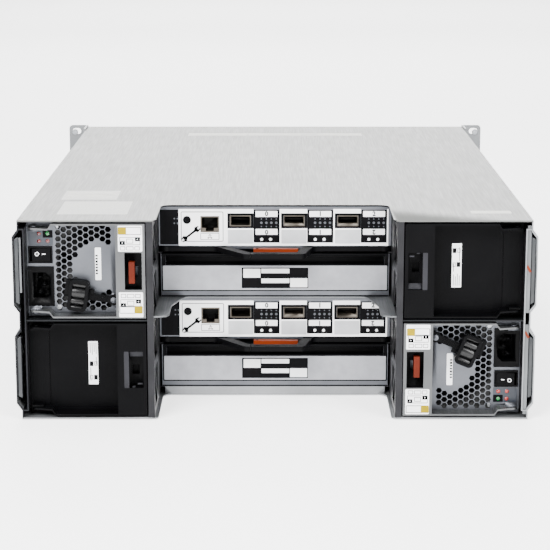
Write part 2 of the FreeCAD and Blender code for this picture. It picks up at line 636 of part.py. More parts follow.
def rack_ear(side, sign):
    """A rack flange: an angle on the side wall with two slots on the rack's pitch."""
    body = new_body("rack_ear_" + side)
    wall, leg = f"{sign}body_width/2", f"{sign}(body_width/2 + ear_thick)"
    tip = f"{sign}(body_width/2 + ear_width)"
    front, back = "ear_setback", "(ear_setback - ear_thick)"
    extrude(body, "Pad", "ear_" + side, "XY", ("0", "ear_height"), [[
        (wall, "ear_setback - ear_leg"), (leg, "ear_setback - ear_leg"), (leg, back),
        (tip, back), (tip, front), (wall, front)]])
    middle = "rack_span/2" if not sign else "-rack_span/2"
    levels = ("(shelf_height/2 - rack_pitch/2)", "(shelf_height/2 + rack_pitch/2)")
    radius, reach = "rack_slot_height/2", "(rack_slot_width - rack_slot_height)/2"
    extrude(body, "Pocket", "rack_slots_" + side, "XZ", (back, front), [
        rectangle((f"{middle} - {reach}", f"{middle} + {reach}"),
                  (f"{level} - {radius}", f"{level} + {radius}")) for level in levels])
    for end, x in (("left", f"{middle} - {reach}"), ("right", f"{middle} + {reach}")):
        extrude(body, "Pocket", f"{end}_slot_ends_{side}", "XZ", (back, front), [],
                [(x, level, radius) for level in levels])

    def corner(edge, spot):
        return along(edge, "y") and near(spot.x, tip) and (
            near(spot.z, "0") or near(spot.z, "ear_height"))

    round_edges(body, "ear_corners_" + side, "ear_round", corner)
    return body


# ---------------------------------------------------------------- drive carriers

def drive_carrier():
    """One carrier in the middle of the width, on the floor: tray, disk and moulded front."""
    half = f"({CELL_PITCH}/2 - cage_sheet/2 - carrier_side_gap)"
    foot = "(sheet_steel + rail_thick + fit_gap)"
    head = f"({foot} + carrier_height)"
    back = f"({BOARD_FRONT} + socket_depth + fit_gap)"
    step = f"({FRONT} - bezel_depth)"
    tray = new_body("carrier_tray")
    extrude(tray, "Pad", "tray_profile", "XZ", (back, step), [[
        (minus(half), foot), (half, foot), (half, f"{head} - disk_height/3"),
        (f"{half} - tray_sheet", f"{head} - disk_height/3"),
        (f"{half} - tray_sheet", f"{foot} + tray_sheet"),
        (minus(f"{half} - tray_sheet"), f"{foot} + tray_sheet"),
        (minus(f"{half} - tray_sheet"), f"{head} - disk_height/3"),
        (minus(half), f"{head} - disk_height/3")]])
    disk = block("disk", ("-disk_width/2", "disk_width/2"), (back, f"{back} + disk_length"),
                 (f"{foot} + tray_sheet", f"{foot} + tray_sheet + disk_height"))
    bezel = new_body("carrier_bezel")
    extrude(bezel, "Pad", "bezel", "XZ", (step, FRONT),
            [rectangle((minus(half), half), (foot, head))])
    middle = f"({foot} + carrier_height/2)"
    extrude(bezel, "Pocket", "lever_hollow", "XZ", (f"{FRONT} - latch_depth", FRONT),
            [rectangle(("-latch_width/2", "latch_width/2"),
                       (f"{middle} - latch_height/2", f"{middle} + latch_height/2"))])
    extrude(bezel, "Pocket", "air_slot", "XZ", (step, FRONT),
            [rectangle((f"latch_width/2*{sign} - slot_width*{near_side}",
                        f"latch_width/2*{sign} + slot_width*{far_side}"),
                       (f"{middle} - latch_height/2", f"{middle} + latch_height/2"))
             for sign, near_side, far_side in ((-1, 0.75, -0.1), (1, -0.1, 0.75))])
    lever = block("carrier_lever", ("-latch_width/2 + fit_gap", "latch_width/2 - fit_gap"),
                  (f"{FRONT} - latch_depth", f"{FRONT} - fit_gap*2"),
                  (f"{middle} - latch_height/2 + fit_gap", f"{middle} + latch_height/4"))
    return together("carrier", tray, disk, bezel, lever)


def carrier_place(column, row):
    return f"(({column} + 0.5 - column_count/2)*{CELL_PITCH})", f"({row}*{ROW_PITCH})"


# ---------------------------------------------------------------- power cooling module

SERVICE_X = f"({PCM_OUTER} + service_centre)"
FAN_X = f"({PCM_OUTER} + fan_offset)"
FAN_Z = f"({BAY_MIDDLE} + fan_rise)"
INLET_Z = f"({BAY_MIDDLE} - inlet_drop)"
SWITCH_Z = f"({BAY_MIDDLE} + switch_rise)"
ROCKER_Y = f"({FACE} - switch_rim + rocker_pin_depth)"
BAIL_X = f"({PCM_OUTER} + bail_pin_x)"
BAIL_Y = f"({REAR} + bail_pin_y)"
ARM_TOP = f"({BAY_MIDDLE} + bail_height/2)"
LUG_TOP = f"({BAY_MIDDLE} + bail_height/2 - arm_joggle)"
CLIP_X = f"({PCM_OUTER} + clip_x)"
CLIP_Z = f"({BAY_MIDDLE} - clip_drop)"
FAN_BACK = f"({FACE} + face_sheet + fan_clear + fan_length)"


def mirrored_level(expression):
    """The same height below the middle of the power bay."""
    return f"(2*{BAY_MIDDLE} - ({expression}))"


def bail_pins(owner):
    """Plates at the outer corners of a module's face, each with a headed pin for the bail."""
    pieces = []
    for end in ("upper", "lower"):
        under = f"({LUG_TOP} - bail_sheet - fit_gap)"
        levels = [f"({under} - ear_plate)", under, f"({LUG_TOP} + fit_gap)",
                  f"({LUG_TOP} + fit_gap + pin_head_thick)"]
        if end == "lower":
            levels = [mirrored_level(level) for level in levels]

        def span(one, other):
            pair = (levels[one], levels[other])
            return pair if end == "upper" else pair[::-1]

        pieces.append(block(f"{owner}_ear_{end}",
                            (f"{BAIL_X} - lug_radius", f"{BAIL_X} + lug_radius"),
                            (f"{BAIL_Y} - pin_head", FACE), span(0, 1)))
        pieces.append(rod(f"{owner}_pin_{end}", "z", BAIL_X, BAIL_Y, span(1, 2), "bail_pin"))
        pieces.append(rod(f"{owner}_pin_head_{end}", "z", BAIL_X, BAIL_Y, span(2, 3), "pin_head"))
    return pieces


def hexagons():
    """Prisms for the perforation: staggered columns, none under the plain disc."""
    flat = value("hex_pitch - hex_web")
    column_pitch = f"(hex_pitch*{math.sqrt(3) / 2:.6f})"
    reach = value("hub_disc") + flat * 0.58
    columns = int((value("grille_right") - value("grille_left") - flat) / value(column_pitch)) + 1
    rows = int(2 * value("grille_half") / value("hex_pitch"))
    prisms = []
    for column in range(columns):
        x = f"({PCM_OUTER} + grille_left + (hex_pitch - hex_web)*0.58 + {column}*{column_pitch})"
        for row in range(rows - column % 2):
            z = f"({FAN_Z} + ({row} + {column % 2}/2 - {rows - 1}/2)*hex_pitch)"
            if math.hypot(value(x) - value(FAN_X), value(z) - value(FAN_Z)) < reach:
                continue
            prism = doc.addObject("Part::Prism", f"hexagon_{column}_{row}")
            prism.Polygon = 6
            prism.Placement = FreeCAD.Placement(V(), FreeCAD.Rotation(V(1, 0, 0), -90))
            prism.setExpression("Circumradius", sized("(hex_pitch - hex_web)/1.732051"))
            prism.setExpression("Height", sized("face_sheet*3"))
            place(prism, x, f"{FACE} - face_sheet", z)
            prisms.append(prism)
    return prisms


def pcm_casing():
    """Case of a power cooling module: perforated face, fan tunnel with the shaft bearing,
    mains inlet, switch frame, bail pins and the post of the cord clip."""
    case = block("case_block", (PCM_OUTER, PCM_INNER), (FACE, MODULE_END), (PCM_BOTTOM, PCM_TOP))
    tunnel = rod("tunnel", "y", FAN_X, (f"{FACE} + face_sheet", f"{FACE} + tunnel_depth"),
                 FAN_Z, "tunnel_radius")
    inlet_hole = block("inlet_hole",
                       (f"{SERVICE_X} - inlet_width/2 + inlet_rim_width",
                        f"{SERVICE_X} + inlet_width/2 - inlet_rim_width"),
                       (f"{FACE} - 1", f"{FACE} + plug_depth + inlet_rim"),
                       (f"{INLET_Z} - inlet_height/2 + inlet_rim_width",
                        f"{INLET_Z} + inlet_height/2 - inlet_rim_width"))
    switch_hole = block("switch_hole",
                        (f"{SERVICE_X} - switch_well_width/2", f"{SERVICE_X} + switch_well_width/2"),
                        (f"{FACE} - 1", f"{FACE} + switch_well_depth"),
                        (f"{SWITCH_Z} - switch_well_height/2", f"{SWITCH_Z} + switch_well_height/2"))
    pin_bore = rod("switch_pin_bore", "z", SERVICE_X, ROCKER_Y,
                   (f"{SWITCH_Z} - rocker_height/2 - rocker_pin_reach - fit_gap",
                    f"{SWITCH_Z} + rocker_height/2 + rocker_pin_reach + fit_gap"),
                   "rocker_pin + pin_gap")
    shell = cut("case_shell", case, tunnel, inlet_hole, *hexagons())
    frame = block("switch_frame",
                  (f"{SERVICE_X} - switch_width/2", f"{SERVICE_X} + switch_width/2"),
                  (f"{FACE} - switch_rim", f"{FACE}"),
                  (f"{SWITCH_Z} - switch_height/2", f"{SWITCH_Z} + switch_height/2"))
    mouth = block("switch_mouth",
                  (f"{SERVICE_X} - switch_well_width/2", f"{SERVICE_X} + switch_well_width/2"),
                  (f"{FACE} - switch_rim - 1", f"{FACE} + switch_well_depth"),
                  (f"{SWITCH_Z} - switch_well_height/2", f"{SWITCH_Z} + switch_well_height/2"))
    boss = rod("bearing", "y", FAN_X, (f"{FAN_BACK} + fit_gap", f"{FACE} + tunnel_depth + 1"),
               FAN_Z, "boss_radius")
    post = rod("clip_post", "y", CLIP_X, (f"{FACE} - clip_post_length", f"{FACE} + face_sheet/2"),
               CLIP_Z, "clip_post")
    pin_front = f"({FACE} - clip_post_length - clip_thick - fit_gap*2)"
    pin = rod("clip_pin", "y", CLIP_X, (pin_front, f"{FACE} - clip_post_length"), CLIP_Z,
              "clip_pin")
    head = rod("clip_pin_head", "y", CLIP_X, (f"{pin_front} - pin_head_thick", pin_front),
               CLIP_Z, "pin_head")
    whole = fuse("case_whole", shell, frame, boss, post, pin, head, *bail_pins("pcm"))
    shaft_bore = rod("shaft_bore", "y", FAN_X,
                     (FAN_BACK, f"{FAN_BACK} + fit_gap + shaft_length"), FAN_Z,
                     "shaft_radius + pin_gap")
    case_cut = cut("case_cut", whole, mouth, pin_bore, shaft_bore)
    doc.removeObject(switch_hole.Name)
    return together("pcm_case", case_cut, mains_inlet())


def mains_inlet():
    """Flanged mains inlet with a cavity of cut corners and three contact blades."""
    body = new_body("mains_inlet")
    wide, high = "(inlet_width/2 - inlet_rim_width)", "(inlet_height/2 - inlet_rim_width)"
    x, z = SERVICE_X, INLET_Z
    extrude(body, "Pad", "inlet_housing", "XZ", (FACE, f"{FACE} + plug_depth + inlet_rim"),
            [rectangle((f"{x} - {wide}", f"{x} + {wide}"), (f"{z} - {high}", f"{z} + {high}"))])
    extrude(body, "Pad", "inlet_flange", "XZ", (f"{FACE} - inlet_rim", FACE), [rectangle(
        (f"{x} - inlet_width/2", f"{x} + inlet_width/2"),
        (f"{z} - inlet_height/2", f"{z} + inlet_height/2"))])
    w, h, c = "plug_width/2", "plug_height/2", "plug_corner"
    floor = f"({FACE} - inlet_rim + plug_depth)"
    extrude(body, "Pocket", "plug_cavity", "XZ", (f"{FACE} - inlet_rim", floor), [[
        (f"{x} - {w}", f"{z} - {h}"), (f"{x} + {w} - {c}", f"{z} - {h}"),
        (f"{x} + {w}", f"{z} - {h} + {c}"), (f"{x} + {w}", f"{z} + {h} - {c}"),
        (f"{x} + {w} - {c}", f"{z} + {h}"), (f"{x} - {w}", f"{z} + {h}")]])
    blades = []
    for step, side in ((-1, -1), (0, 1), (1, -1)):
        cx, cz = f"({x} + blade_offset*{side})", f"({z} + blade_pitch*{step})"
        blades.append(rectangle((f"{cx} - blade_height/2", f"{cx} + blade_height/2"),
                                (f"{cz} - blade_width/2", f"{cz} + blade_width/2")))
    extrude(body, "Pad", "blades", "XZ", (f"{floor} - blade_length", floor), blades)
    return body


def rocker():
    """Mains switch rocker on a pin along Z, lying to one side."""
    body = new_body("rocker_form")
    end, root = "rocker_length/2", "(rocker_length/2 - 2)"
    extrude(body, "Pad", "rocker_profile", "XY", ("-rocker_height/2", "rocker_height/2"), [[
        (minus(end), "-rocker_crown"), ("0", "-rocker_valley"), (end, "-rocker_crown"),
        (root, "rocker_root"), (minus(root), "rocker_root")]])
    pin = rod("rocker_pin_rod", "z", "0", "0",
              ("-rocker_height/2 - rocker_pin_reach", "rocker_height/2 + rocker_pin_reach"),
              "rocker_pin")
    return moved("rocker", fuse("rocker_on_pin", body, pin), SERVICE_X, ROCKER_Y, SWITCH_Z,
                 axis=(0, 0, 1), angle="rocker_tilt")


def bail_handle():
    """Bail of a power module: grip strip with a window, two joggled arms with pin ends and,
    behind the window, a moulded finger well with a slot for the latch."""
    inner = f"({PCM_INNER} - bail_edge + fit_gap)"
    edge = f"({inner} - grip_width)"
    top, bottom = ARM_TOP, mirrored_level(ARM_TOP)
    window = (f"{inner} - window_edge - window_width", f"{inner} - window_edge")
    grip = new_body("grip_strip")
    extrude(grip, "Pad", "strip", "XZ", (REAR, f"{REAR} + bail_sheet"),
            [rectangle((edge, inner), (bottom, top)),
             rectangle(window, (f"{BAY_MIDDLE} - window_height/2", f"{BAY_MIDDLE} + window_height/2"))])
    extrude(grip, "Pad", "free_hem", "XY", (bottom, top),
            [rectangle((f"{inner} - bail_sheet", inner), (REAR, f"{REAR} + grip_hem"))])
    extrude(grip, "Pad", "inner_hem", "XY", (bottom, top),
            [rectangle((edge, f"{edge} + bail_sheet"), (REAR, f"{REAR} + grip_hem/2"))])
    arms = []
    step_end = f"({PCM_OUTER} + joggle_start)"
    for end in ("upper", "lower"):
        def level(expression):
            return expression if end == "upper" else mirrored_level(expression)
        arm = new_body("arm_" + end)
        thick = "bail_sheet"
        profile = [(inner, f"{top} - {thick}"), (inner, top),
                   (f"{step_end} + joggle_run", top), (step_end, LUG_TOP), (BAIL_X, LUG_TOP),
                   (BAIL_X, f"{LUG_TOP} - {thick}"), (step_end, f"{LUG_TOP} - {thick}"),
                   (f"{step_end} + joggle_run", f"{top} - {thick}")]
        extrude(arm, "Pad", "arm_profile_" + end, "XZ", (REAR, "-arm_front"),
                [[(x, level(z)) for x, z in profile]])
        limits = (level(LUG_TOP), level(f"{LUG_TOP} - {thick}"))
        limits = limits[::-1] if end == "upper" else limits
        corner = extrude(arm, "Pocket", "arm_corner_" + end, "XY", limits, [[
            (f"{BAIL_X} - 1", f"{BAIL_Y} - lug_radius"), (f"{BAIL_X}", f"{BAIL_Y} - lug_radius"),
            (step_end, REAR), (f"{BAIL_X} - 1", REAR)]])
        extrude(arm, "Pad", "lug_" + end, "XY", limits, [], [(BAIL_X, BAIL_Y, "lug_radius")])
        extrude(arm, "Pocket", "lug_hole_" + end, "XY", limits, [],
                [(BAIL_X, BAIL_Y, "bail_pin + pin_gap")])
        arms.append(arm)
    metal = fuse("bail_metal", grip, *arms)
    return together("bail", metal, finger_well(window))


def finger_well(window):
    """Moulded well behind the window of the grip strip, slotted for the latch stem."""
    body = new_body("finger_well")
    left, right = window
    low, high = f"({BAY_MIDDLE} - window_height/2)", f"({BAY_MIDDLE} + window_height/2)"
    mouth = f"({REAR} + bail_sheet)"
    bottom = f"({mouth} + well_depth)"
    extrude(body, "Pad", "well_block", "XZ", (mouth, bottom),
            [rectangle((f"{left} - well_wall", f"{right} + well_wall"),
                       (f"{low} - well_wall", f"{high} + well_wall"))])
    extrude(body, "Pocket", "well_hollow", "XZ", (mouth, f"{bottom} - well_floor"),
            [rectangle((left, right), (low, high))])
    middle = CATCH_Z
    extrude(body, "Pocket", "stem_slot", "XZ", (f"{bottom} - well_floor", bottom),
            [rectangle((f"{CATCH_X} - catch_stem_width/2 - fit_gap",
                        f"{CATCH_X} + catch_stem_width/2 + catch_travel + fit_gap"),
                       (f"{middle} - catch_stem/2 - fit_gap", f"{middle} + catch_stem/2 + fit_gap"))])
    return body


CATCH_X = (f"({PCM_INNER} - bail_edge + fit_gap - window_edge - window_width"
           " + catch_offset)")
CATCH_Z = f"({BAY_MIDDLE} - catch_drop)"


def bail_latch():
    """Thumb latch: a pad in the finger well on a stem with a retaining foot."""
    floor = f"({REAR} + bail_sheet + well_depth - well_floor)"
    bottom = f"({floor} + well_floor)"
    pad = block("latch_pad", (f"{CATCH_X} - catch_width/2", f"{CATCH_X} + catch_width/2"),
                (f"{REAR} + bail_sheet + catch_proud", f"{floor} - fit_gap"),
                (f"{CATCH_Z} - catch_height/2", f"{CATCH_Z} + catch_height/2"))
    stem = block("latch_stem",
                 (f"{CATCH_X} - catch_stem_width/2", f"{CATCH_X} + catch_stem_width/2"),
                 (f"{floor} - fit_gap*2", f"{bottom} + fit_gap"),
                 (f"{CATCH_Z} - catch_stem/2", f"{CATCH_Z} + catch_stem/2"))
    foot = block("latch_foot", (f"{CATCH_X} - catch_width/2", f"{CATCH_X} + catch_width/2"),
                 (f"{bottom} + fit_gap", f"{bottom} + fit_gap + well_wall"),
                 (f"{CATCH_Z} - catch_stem", f"{CATCH_Z} + catch_stem"))
    return fuse("latch", pad, stem, foot)


def cord_clip():
    """Cord retainer about its own pin: eye, strap, rounded loop and a thumb tab."""
    body = new_body("clip_form")
    strap = ("clip_post_length + fit_gap", "clip_post_length + fit_gap + clip_thick")
    strap = tuple(minus(limit) for limit in strap[::-1])
    extrude(body, "Pad", "strap", "XZ", strap,
            [rectangle(("-clip_reach - loop_wall/2", "0"), ("-clip_strap/2", "clip_strap/2"))])
    extrude(body, "Pad", "eye", "XZ", strap, [], [("0", "0", "clip_eye")])
    extrude(body, "Pocket", "eye_hole", "XZ", strap, [], [("0", "0", "clip_pin + pin_gap")])
    far = "(-clip_reach - loop_width)"
    deep = (minus("clip_post_length + loop_depth - fit_gap*4"), minus("clip_post_length - fit_gap*4"))
    loop = new_body("clip_loop")
    extrude(loop, "Pad", "loop_block", "XZ", deep,
            [rectangle((far, "-clip_reach"), ("-loop_height/2", "loop_height/2"))])
    round_edges(loop, "loop_corners", "loop_round", lambda edge, spot: along(edge, "y"))
    extrude(loop, "Pocket", "loop_hollow", "XZ", deep,
            [rectangle((f"{far} + loop_wall", "-clip_reach - loop_wall"),
                       ("-loop_height/2 + loop_wall", "loop_height/2 - loop_wall"))])
    tab = block("clip_thumb_tab", (f"{far} - clip_tab", f"{far} + loop_wall/2"), strap,
                ("-clip_strap/2", "clip_strap/2"))
    return fuse("clip_whole", body, loop, tab)


def fan_rotor():
    """Rotor of the module fan: hub with shaft and twisted blades lofted from hub to tip."""
    body = new_body("rotor")
    front = f"({FACE} + face_sheet + fan_clear)"
    half = "(fan_length/2)"
    extrude(body, "Pad", "rotor_hub", "XZ", (minus(half), half), [], [("0", "0", "fan_hub")])

    def section(name, radius, chord, pitch):
        c, s = f"cos({pitch})", f"sin({pitch})"
        corners = []
        for u, w in ((-1, -1), (1, -1), (1, 1), (-1, 1)):
            x = f"({u}*{chord}/2*{s} + {w}*fan_blade/2*{c})"
            y = f"({u}*{chord}/2*{c} - {w}*fan_blade/2*{s})"
            corners.append((x, y))
        return outline(body, name, "XY", radius, [corners], [])

    root = section("blade_root", "(fan_hub - fan_blade)", "fan_root_chord", "(fan_pitch_root*1deg)")
    tip_level = "sqrt(fan_radius^2 - (fan_chord/2*sin(fan_pitch_tip*1deg))^2)"
    tip = section("blade_tip", tip_level, "fan_chord", "(fan_pitch_tip*1deg)")
    blade = body.newObject("PartDesign::AdditiveLoft", "blade")
    blade.Profile = root
    blade.Sections = [tip]
    body.Tip = blade
    blades = body.newObject("PartDesign::PolarPattern", "blades_round")
    blades.Originals = [blade]
    blades.Axis = (next(axis for axis in body.Origin.OriginFeatures
                        if axis.Role == "Y_Axis"), [""])
    blades.Angle = 360
    blades.setExpression("Occurrences", sized("fan_count"))
    body.Tip = blades
    shaft = rod("rotor_shaft", "y", "0", (f"{half} - 1", f"{half} + shaft_length"), "0",
                "shaft_radius")
    return moved("fan_in_tunnel", fuse("rotor_on_shaft", body, shaft),
                 FAN_X, f"{front} + {half}", FAN_Z)


def pcm_filler():
    """Moulded filler of a power bay: a box open to the front with a dished face."""
    body = new_body("filler_form")
    low = f"({PCM_BOTTOM})"
    extrude(body, "Pad", "filler_box", "XY", (low, PCM_TOP),
            [rectangle((PCM_OUTER, PCM_INNER), (FACE, f"{FACE} + filler_depth"))])
    wall = "filler_wall"
    extrude(body, "Pocket", "filler_hollow", "XZ",
            (f"{FACE} + {wall} + filler_dish", f"{FACE} + filler_depth"),
            [rectangle((f"{PCM_OUTER} + {wall}", f"{PCM_INNER} - {wall}"),
                       (f"{low} + {wall}", f"{PCM_TOP} - {wall}"))])
    edge = "filler_dish_edge"
    extrude(body, "Pocket", "filler_dish_hollow", "XZ", (FACE, f"{FACE} + filler_dish"),
            [rectangle((f"{BAIL_X} + lug_radius + {edge}", f"{PCM_INNER} - {edge}"),
                       (f"{low} + {edge}", f"{PCM_TOP} - {edge}"))])
    return fuse("filler_whole", body, *bail_pins("filler"))


# ---------------------------------------------------------------- I/O module

PORT_Z = f"({IOM_TOP} - port_drop)"
NET_Z = f"({IOM_TOP} - net_drop)"
JACK_Z = f"({IOM_TOP} - jack_drop)"
LEVER_LOW = f"({IOM_BOTTOM} + lever_lift)"
LEVER_HIGH = f"({IOM_BOTTOM} + lever_lift + lever_thick)"
LEVER_Y = f"({IO_FACE} + lever_pin_y)"
TRIGGER_Y = f"({IO_FACE} - trigger_back)"
TRIGGER_X = "(trigger_left + trigger_width/2)"
PORTS = ("port_first", "(port_first + port_pitch)", "(port_first + port_pitch*2)")


def iom_canister():
    """I/O module case with pockets for its ports and, along the lower edge of its face, the
    slot of the levers with their two pins."""
    body = new_body("canister_form")
    half = "iom_width/2"
    extrude(body, "Pad", "canister", "XZ", (IO_FACE, MODULE_END),
            [rectangle((minus(half), half), (IOM_BOTTOM, IOM_TOP))])
    extrude(body, "Pocket", "lever_slot", "XZ", (IO_FACE, f"{IO_FACE} + lever_zone_depth"),
            [rectangle((minus(half), half), (IOM_BOTTOM, f"{IOM_BOTTOM} + lever_zone"))])
    extrude(body, "Pocket", "port_pockets", "XZ", (IO_FACE, f"{IO_FACE} + port_depth"),
            [rectangle((f"{x} - port_width/2", f"{x} + port_width/2"),
                       (f"{PORT_Z} - port_height/2", f"{PORT_Z} + port_height/2"))
             for x in PORTS])
    extrude(body, "Pocket", "net_pocket", "XZ", (IO_FACE, f"{IO_FACE} + net_depth"),
            [rectangle(("net_x - net_width/2", "net_x + net_width/2"),
                       (f"{NET_Z} - net_height/2", f"{NET_Z} + net_height/2"))])
    extrude(body, "Pocket", "jack_pocket", "XZ", (IO_FACE, f"{IO_FACE} + jack_depth"), [],
            [("jack_x", JACK_Z, "jack_radius")])
    pins = []
    roof = f"({IOM_BOTTOM} + lever_zone)"
    for side, x in (("left", minus("lever_pin_x")), ("right", "lever_pin_x")):
        pins.append(rod("lever_pin_" + side, "z", x, LEVER_Y, (IOM_BOTTOM, roof), "lever_pin"))
        pins.append(rod("lever_boss_" + side, "z", x, LEVER_Y,
                        (f"{LEVER_HIGH} + fit_gap", roof), "pin_head"))
    return fuse("canister_whole", body, *pins)


def iom_ports():
    """Metal ports of an I/O module: three cable cages, a network socket and a service jack."""
    solids = []
    for number, x in enumerate(PORTS):
        body = new_body(f"port_cage_{number}")
        w, h, wall = "port_width/2", "port_height/2", "port_wall"
        extrude(body, "Pad", f"cage_block_{number}", "XZ",
                (f"{IO_FACE} - port_proud", f"{IO_FACE} + port_depth"),
                [rectangle((f"{x} - {w}", f"{x} + {w}"), (f"{PORT_Z} - {h}", f"{PORT_Z} + {h}"))])
        inner = f"({IO_FACE} + port_depth - {wall})"
        extrude(body, "Pocket", f"cage_hollow_{number}", "XZ",
                (f"{IO_FACE} - port_proud", inner),
                [rectangle((f"{x} - {w} + {wall}", f"{x} + {w} - {wall}"),
                           (f"{PORT_Z} - {h} + {wall}", f"{PORT_Z} + {h} - {wall}"))])
        extrude(body, "Pad", f"tongue_{number}", "XZ", (f"{inner} - tongue_length", inner),
                [rectangle((f"{x} - {w} + {wall}*3", f"{x} + {w} - {wall}*3"),
                           (f"{PORT_Z} - tongue_thick/2", f"{PORT_Z} + tongue_thick/2"))])
        solids.append(body)
    net = new_body("network_socket")
    w, h = "net_width/2", "net_height/2"
    extrude(net, "Pad", "net_block", "XZ", (IO_FACE, f"{IO_FACE} + net_depth"),
            [rectangle((f"net_x - {w}", f"net_x + {w}"), (f"{NET_Z} - {h}", f"{NET_Z} + {h}"))])
    w, h = "(net_width/2 - net_wall)", "(net_height/2 - net_wall)"
    extrude(net, "Pocket", "net_hollow", "XZ", (IO_FACE, f"{IO_FACE} + net_depth - net_wall"), [[
        (f"net_x - {w}", f"{NET_Z} - {h}*0.55"), (f"net_x - {w}*0.5", f"{NET_Z} - {h}*0.55"),
        (f"net_x - {w}*0.5", f"{NET_Z} - {h}"), (f"net_x + {w}*0.5", f"{NET_Z} - {h}"),
        (f"net_x + {w}*0.5", f"{NET_Z} - {h}*0.55"), (f"net_x + {w}", f"{NET_Z} - {h}*0.55"),
        (f"net_x + {w}", f"{NET_Z} + {h}"), (f"net_x - {w}", f"{NET_Z} + {h}")]])
    jack = new_body("service_jack")
    extrude(jack, "Pad", "jack_barrel", "XZ", (f"{IO_FACE} - port_proud/2", f"{IO_FACE} + jack_depth"),
            [], [("jack_x", JACK_Z, "jack_radius"), ("jack_x", JACK_Z, "jack_bore")])
    return together("ports", *solids, net, jack)


def lever(side):
    """A lever of an I/O module: pin end, arm along the face and its share of the bow. The
    right one has a thin plate inside the bow with the pin of the trigger."""
    body = new_body("lever_" + side)
    left = side == "left"
    pin = minus("lever_pin_x") if left else "lever_pin_x"
    root = "bow_left" if left else "bow_right"
    slope = "bow_slope_left" if left else "(-bow_slope_right)"
    split = "(lever_split - fit_gap)" if left else "(lever_split + fit_gap)"
    back, front = f"({LEVER_Y} - lever_arm/2)", f"({LEVER_Y} + lever_arm/2)"
    bow = f"({IO_FACE} - lever_bow)"
    fall = "(lever_bow + lever_pin_y - lever_arm/2)"
    across = f"(lever_arm*sqrt(({slope})^2 + {fall}^2)/{fall})"
    if not left:
        across = minus(across)
    inner_root = f"({root} - {slope}*lever_arm/{fall} + {across})"
    inner_turn = f"({root} + {slope}*(1 - lever_arm/{fall}) + {across})"
    shape = [(pin, front), (pin, back), (root, back), (f"{root} + {slope}", bow), (split, bow),
             (split, f"{bow} + lever_arm"), (inner_turn, f"{bow} + lever_arm"),
             (inner_root, front)]
    extrude(body, "Pad", "lever_bar_" + side, "XY", (LEVER_LOW, LEVER_HIGH), [shape])
    bends = [value(root), value(f"{root} + {slope}"), value(inner_root)]
    round_edges(body, "lever_bends_" + side, "lever_round", lambda edge, spot: along(edge, "z")
                and any(abs(spot.x - x) < 0.01 for x in bends))
    extrude(body, "Pad", "lever_lug_" + side, "XY", (LEVER_LOW, LEVER_HIGH), [],
            [(pin, LEVER_Y, "lever_lug")])
    extrude(body, "Pocket", "lever_hole_" + side, "XY", (LEVER_LOW, LEVER_HIGH), [],
            [(pin, LEVER_Y, "lever_pin + pin_gap")])
    if left:
        return body
    extrude(body, "Pad", "trigger_plate", "XY", (LEVER_LOW, f"{LEVER_LOW} + web_thick"),
            [rectangle((split, f"{root} + {slope}"),
                       (f"{bow} + lever_arm/2", f"{TRIGGER_Y} + trigger_width/2"))])
    pin_rod = rod("trigger_pin_rod", "z", TRIGGER_X, TRIGGER_Y,
                  (LEVER_LOW, f"{LEVER_LOW} + web_thick + fit_gap*2 + trigger_thick"), "trigger_pin")
    return fuse("lever_right_whole", body, pin_rod)


def trigger():
    """Release trigger: tapered from its pin end to a slim free end."""
    body = new_body("trigger_form")
    low = f"({LEVER_LOW} + web_thick + fit_gap)"
    limits = (low, f"({low} + trigger_thick)")
    w, t = "trigger_width/2", "trigger_tip/2"
    extrude(body, "Pad", "trigger_bar", "XY", limits, [[
        ("trigger_left", f"{TRIGGER_Y} - {w}"),
        (f"{TRIGGER_X} + trigger_width", f"{TRIGGER_Y} - {w}"),
        ("trigger_right", f"{TRIGGER_Y} - {w} + trigger_tip*0.2"),
        ("trigger_right", f"{TRIGGER_Y} - {w} + trigger_tip*1.2"),
        (f"{TRIGGER_X} + trigger_width", f"{TRIGGER_Y} + {w}"),
        ("trigger_left", f"{TRIGGER_Y} + {w}")]])
    extrude(body, "Pocket", "trigger_hole", "XY", limits, [],
            [(TRIGGER_X, TRIGGER_Y, "trigger_pin + pin_gap")])
    return body


def iom_filler():
    """Filler of an I/O bay: a folded box open to the front, finger hollow along the top."""
    body = new_body("blank_form")
    half = "blank_width/2"
    low = "(mid_shelf_top + fit_gap)"
    high = f"({IOM_BOTTOM} - fit_gap*2 - ledge_thick)"
    extrude(body, "Pad", "blank_box", "XZ", (IO_FACE, f"{IO_FACE} + blank_depth"),
            [rectangle((minus(half), half), (low, high))])
    wall = "blank_sheet"
    extrude(body, "Pocket", "blank_hollow", "XZ",
            (f"{IO_FACE} + pull_depth + {wall}", f"{IO_FACE} + blank_depth"),
            [rectangle((f"-{half} + {wall}", f"{half} - {wall}"),
                       (f"{low} + {wall}", f"{high} - {wall}"))])
    extrude(body, "Pocket", "finger_pull", "XZ", (IO_FACE, f"{IO_FACE} + pull_depth"),
            [rectangle((f"-{half} + pull_margin", f"{half} - pull_margin"),
                       (f"{high} - pull_edge - pull_height", f"{high} - pull_edge"))])
    return body


# ---------------------------------------------------------------- the whole assembly

HALF_TURN = {"z": "shelf_height", "angle": 180}
nodes = {}


def node(name, thing):
    """Registers a sub-part under its own label."""
    thing.Label = name
    nodes[name] = thing


node("chassis_base", chassis_base())
node("top_cover", top_cover())
node("bay_partition_left", partition("left", "-"))
node("bay_partition_right", partition("right", ""))
node("module_shelves", module_shelves())
node("midplane_board", midplane())
node("drive_cage", drive_cage())
node("rack_ears", together("ears", rack_ear("left", "-"), rack_ear("right", "")))

first_carrier = drive_carrier()
for column in range(int(value("column_count"))):
    for row in range(int(value("row_count"))):
        x, z = carrier_place(column, row)
        label = f"drive_carrier_c{column + 1}_r{row + 1}"
        node(label, moved("placed_" + label, first_carrier, x, 0, z))

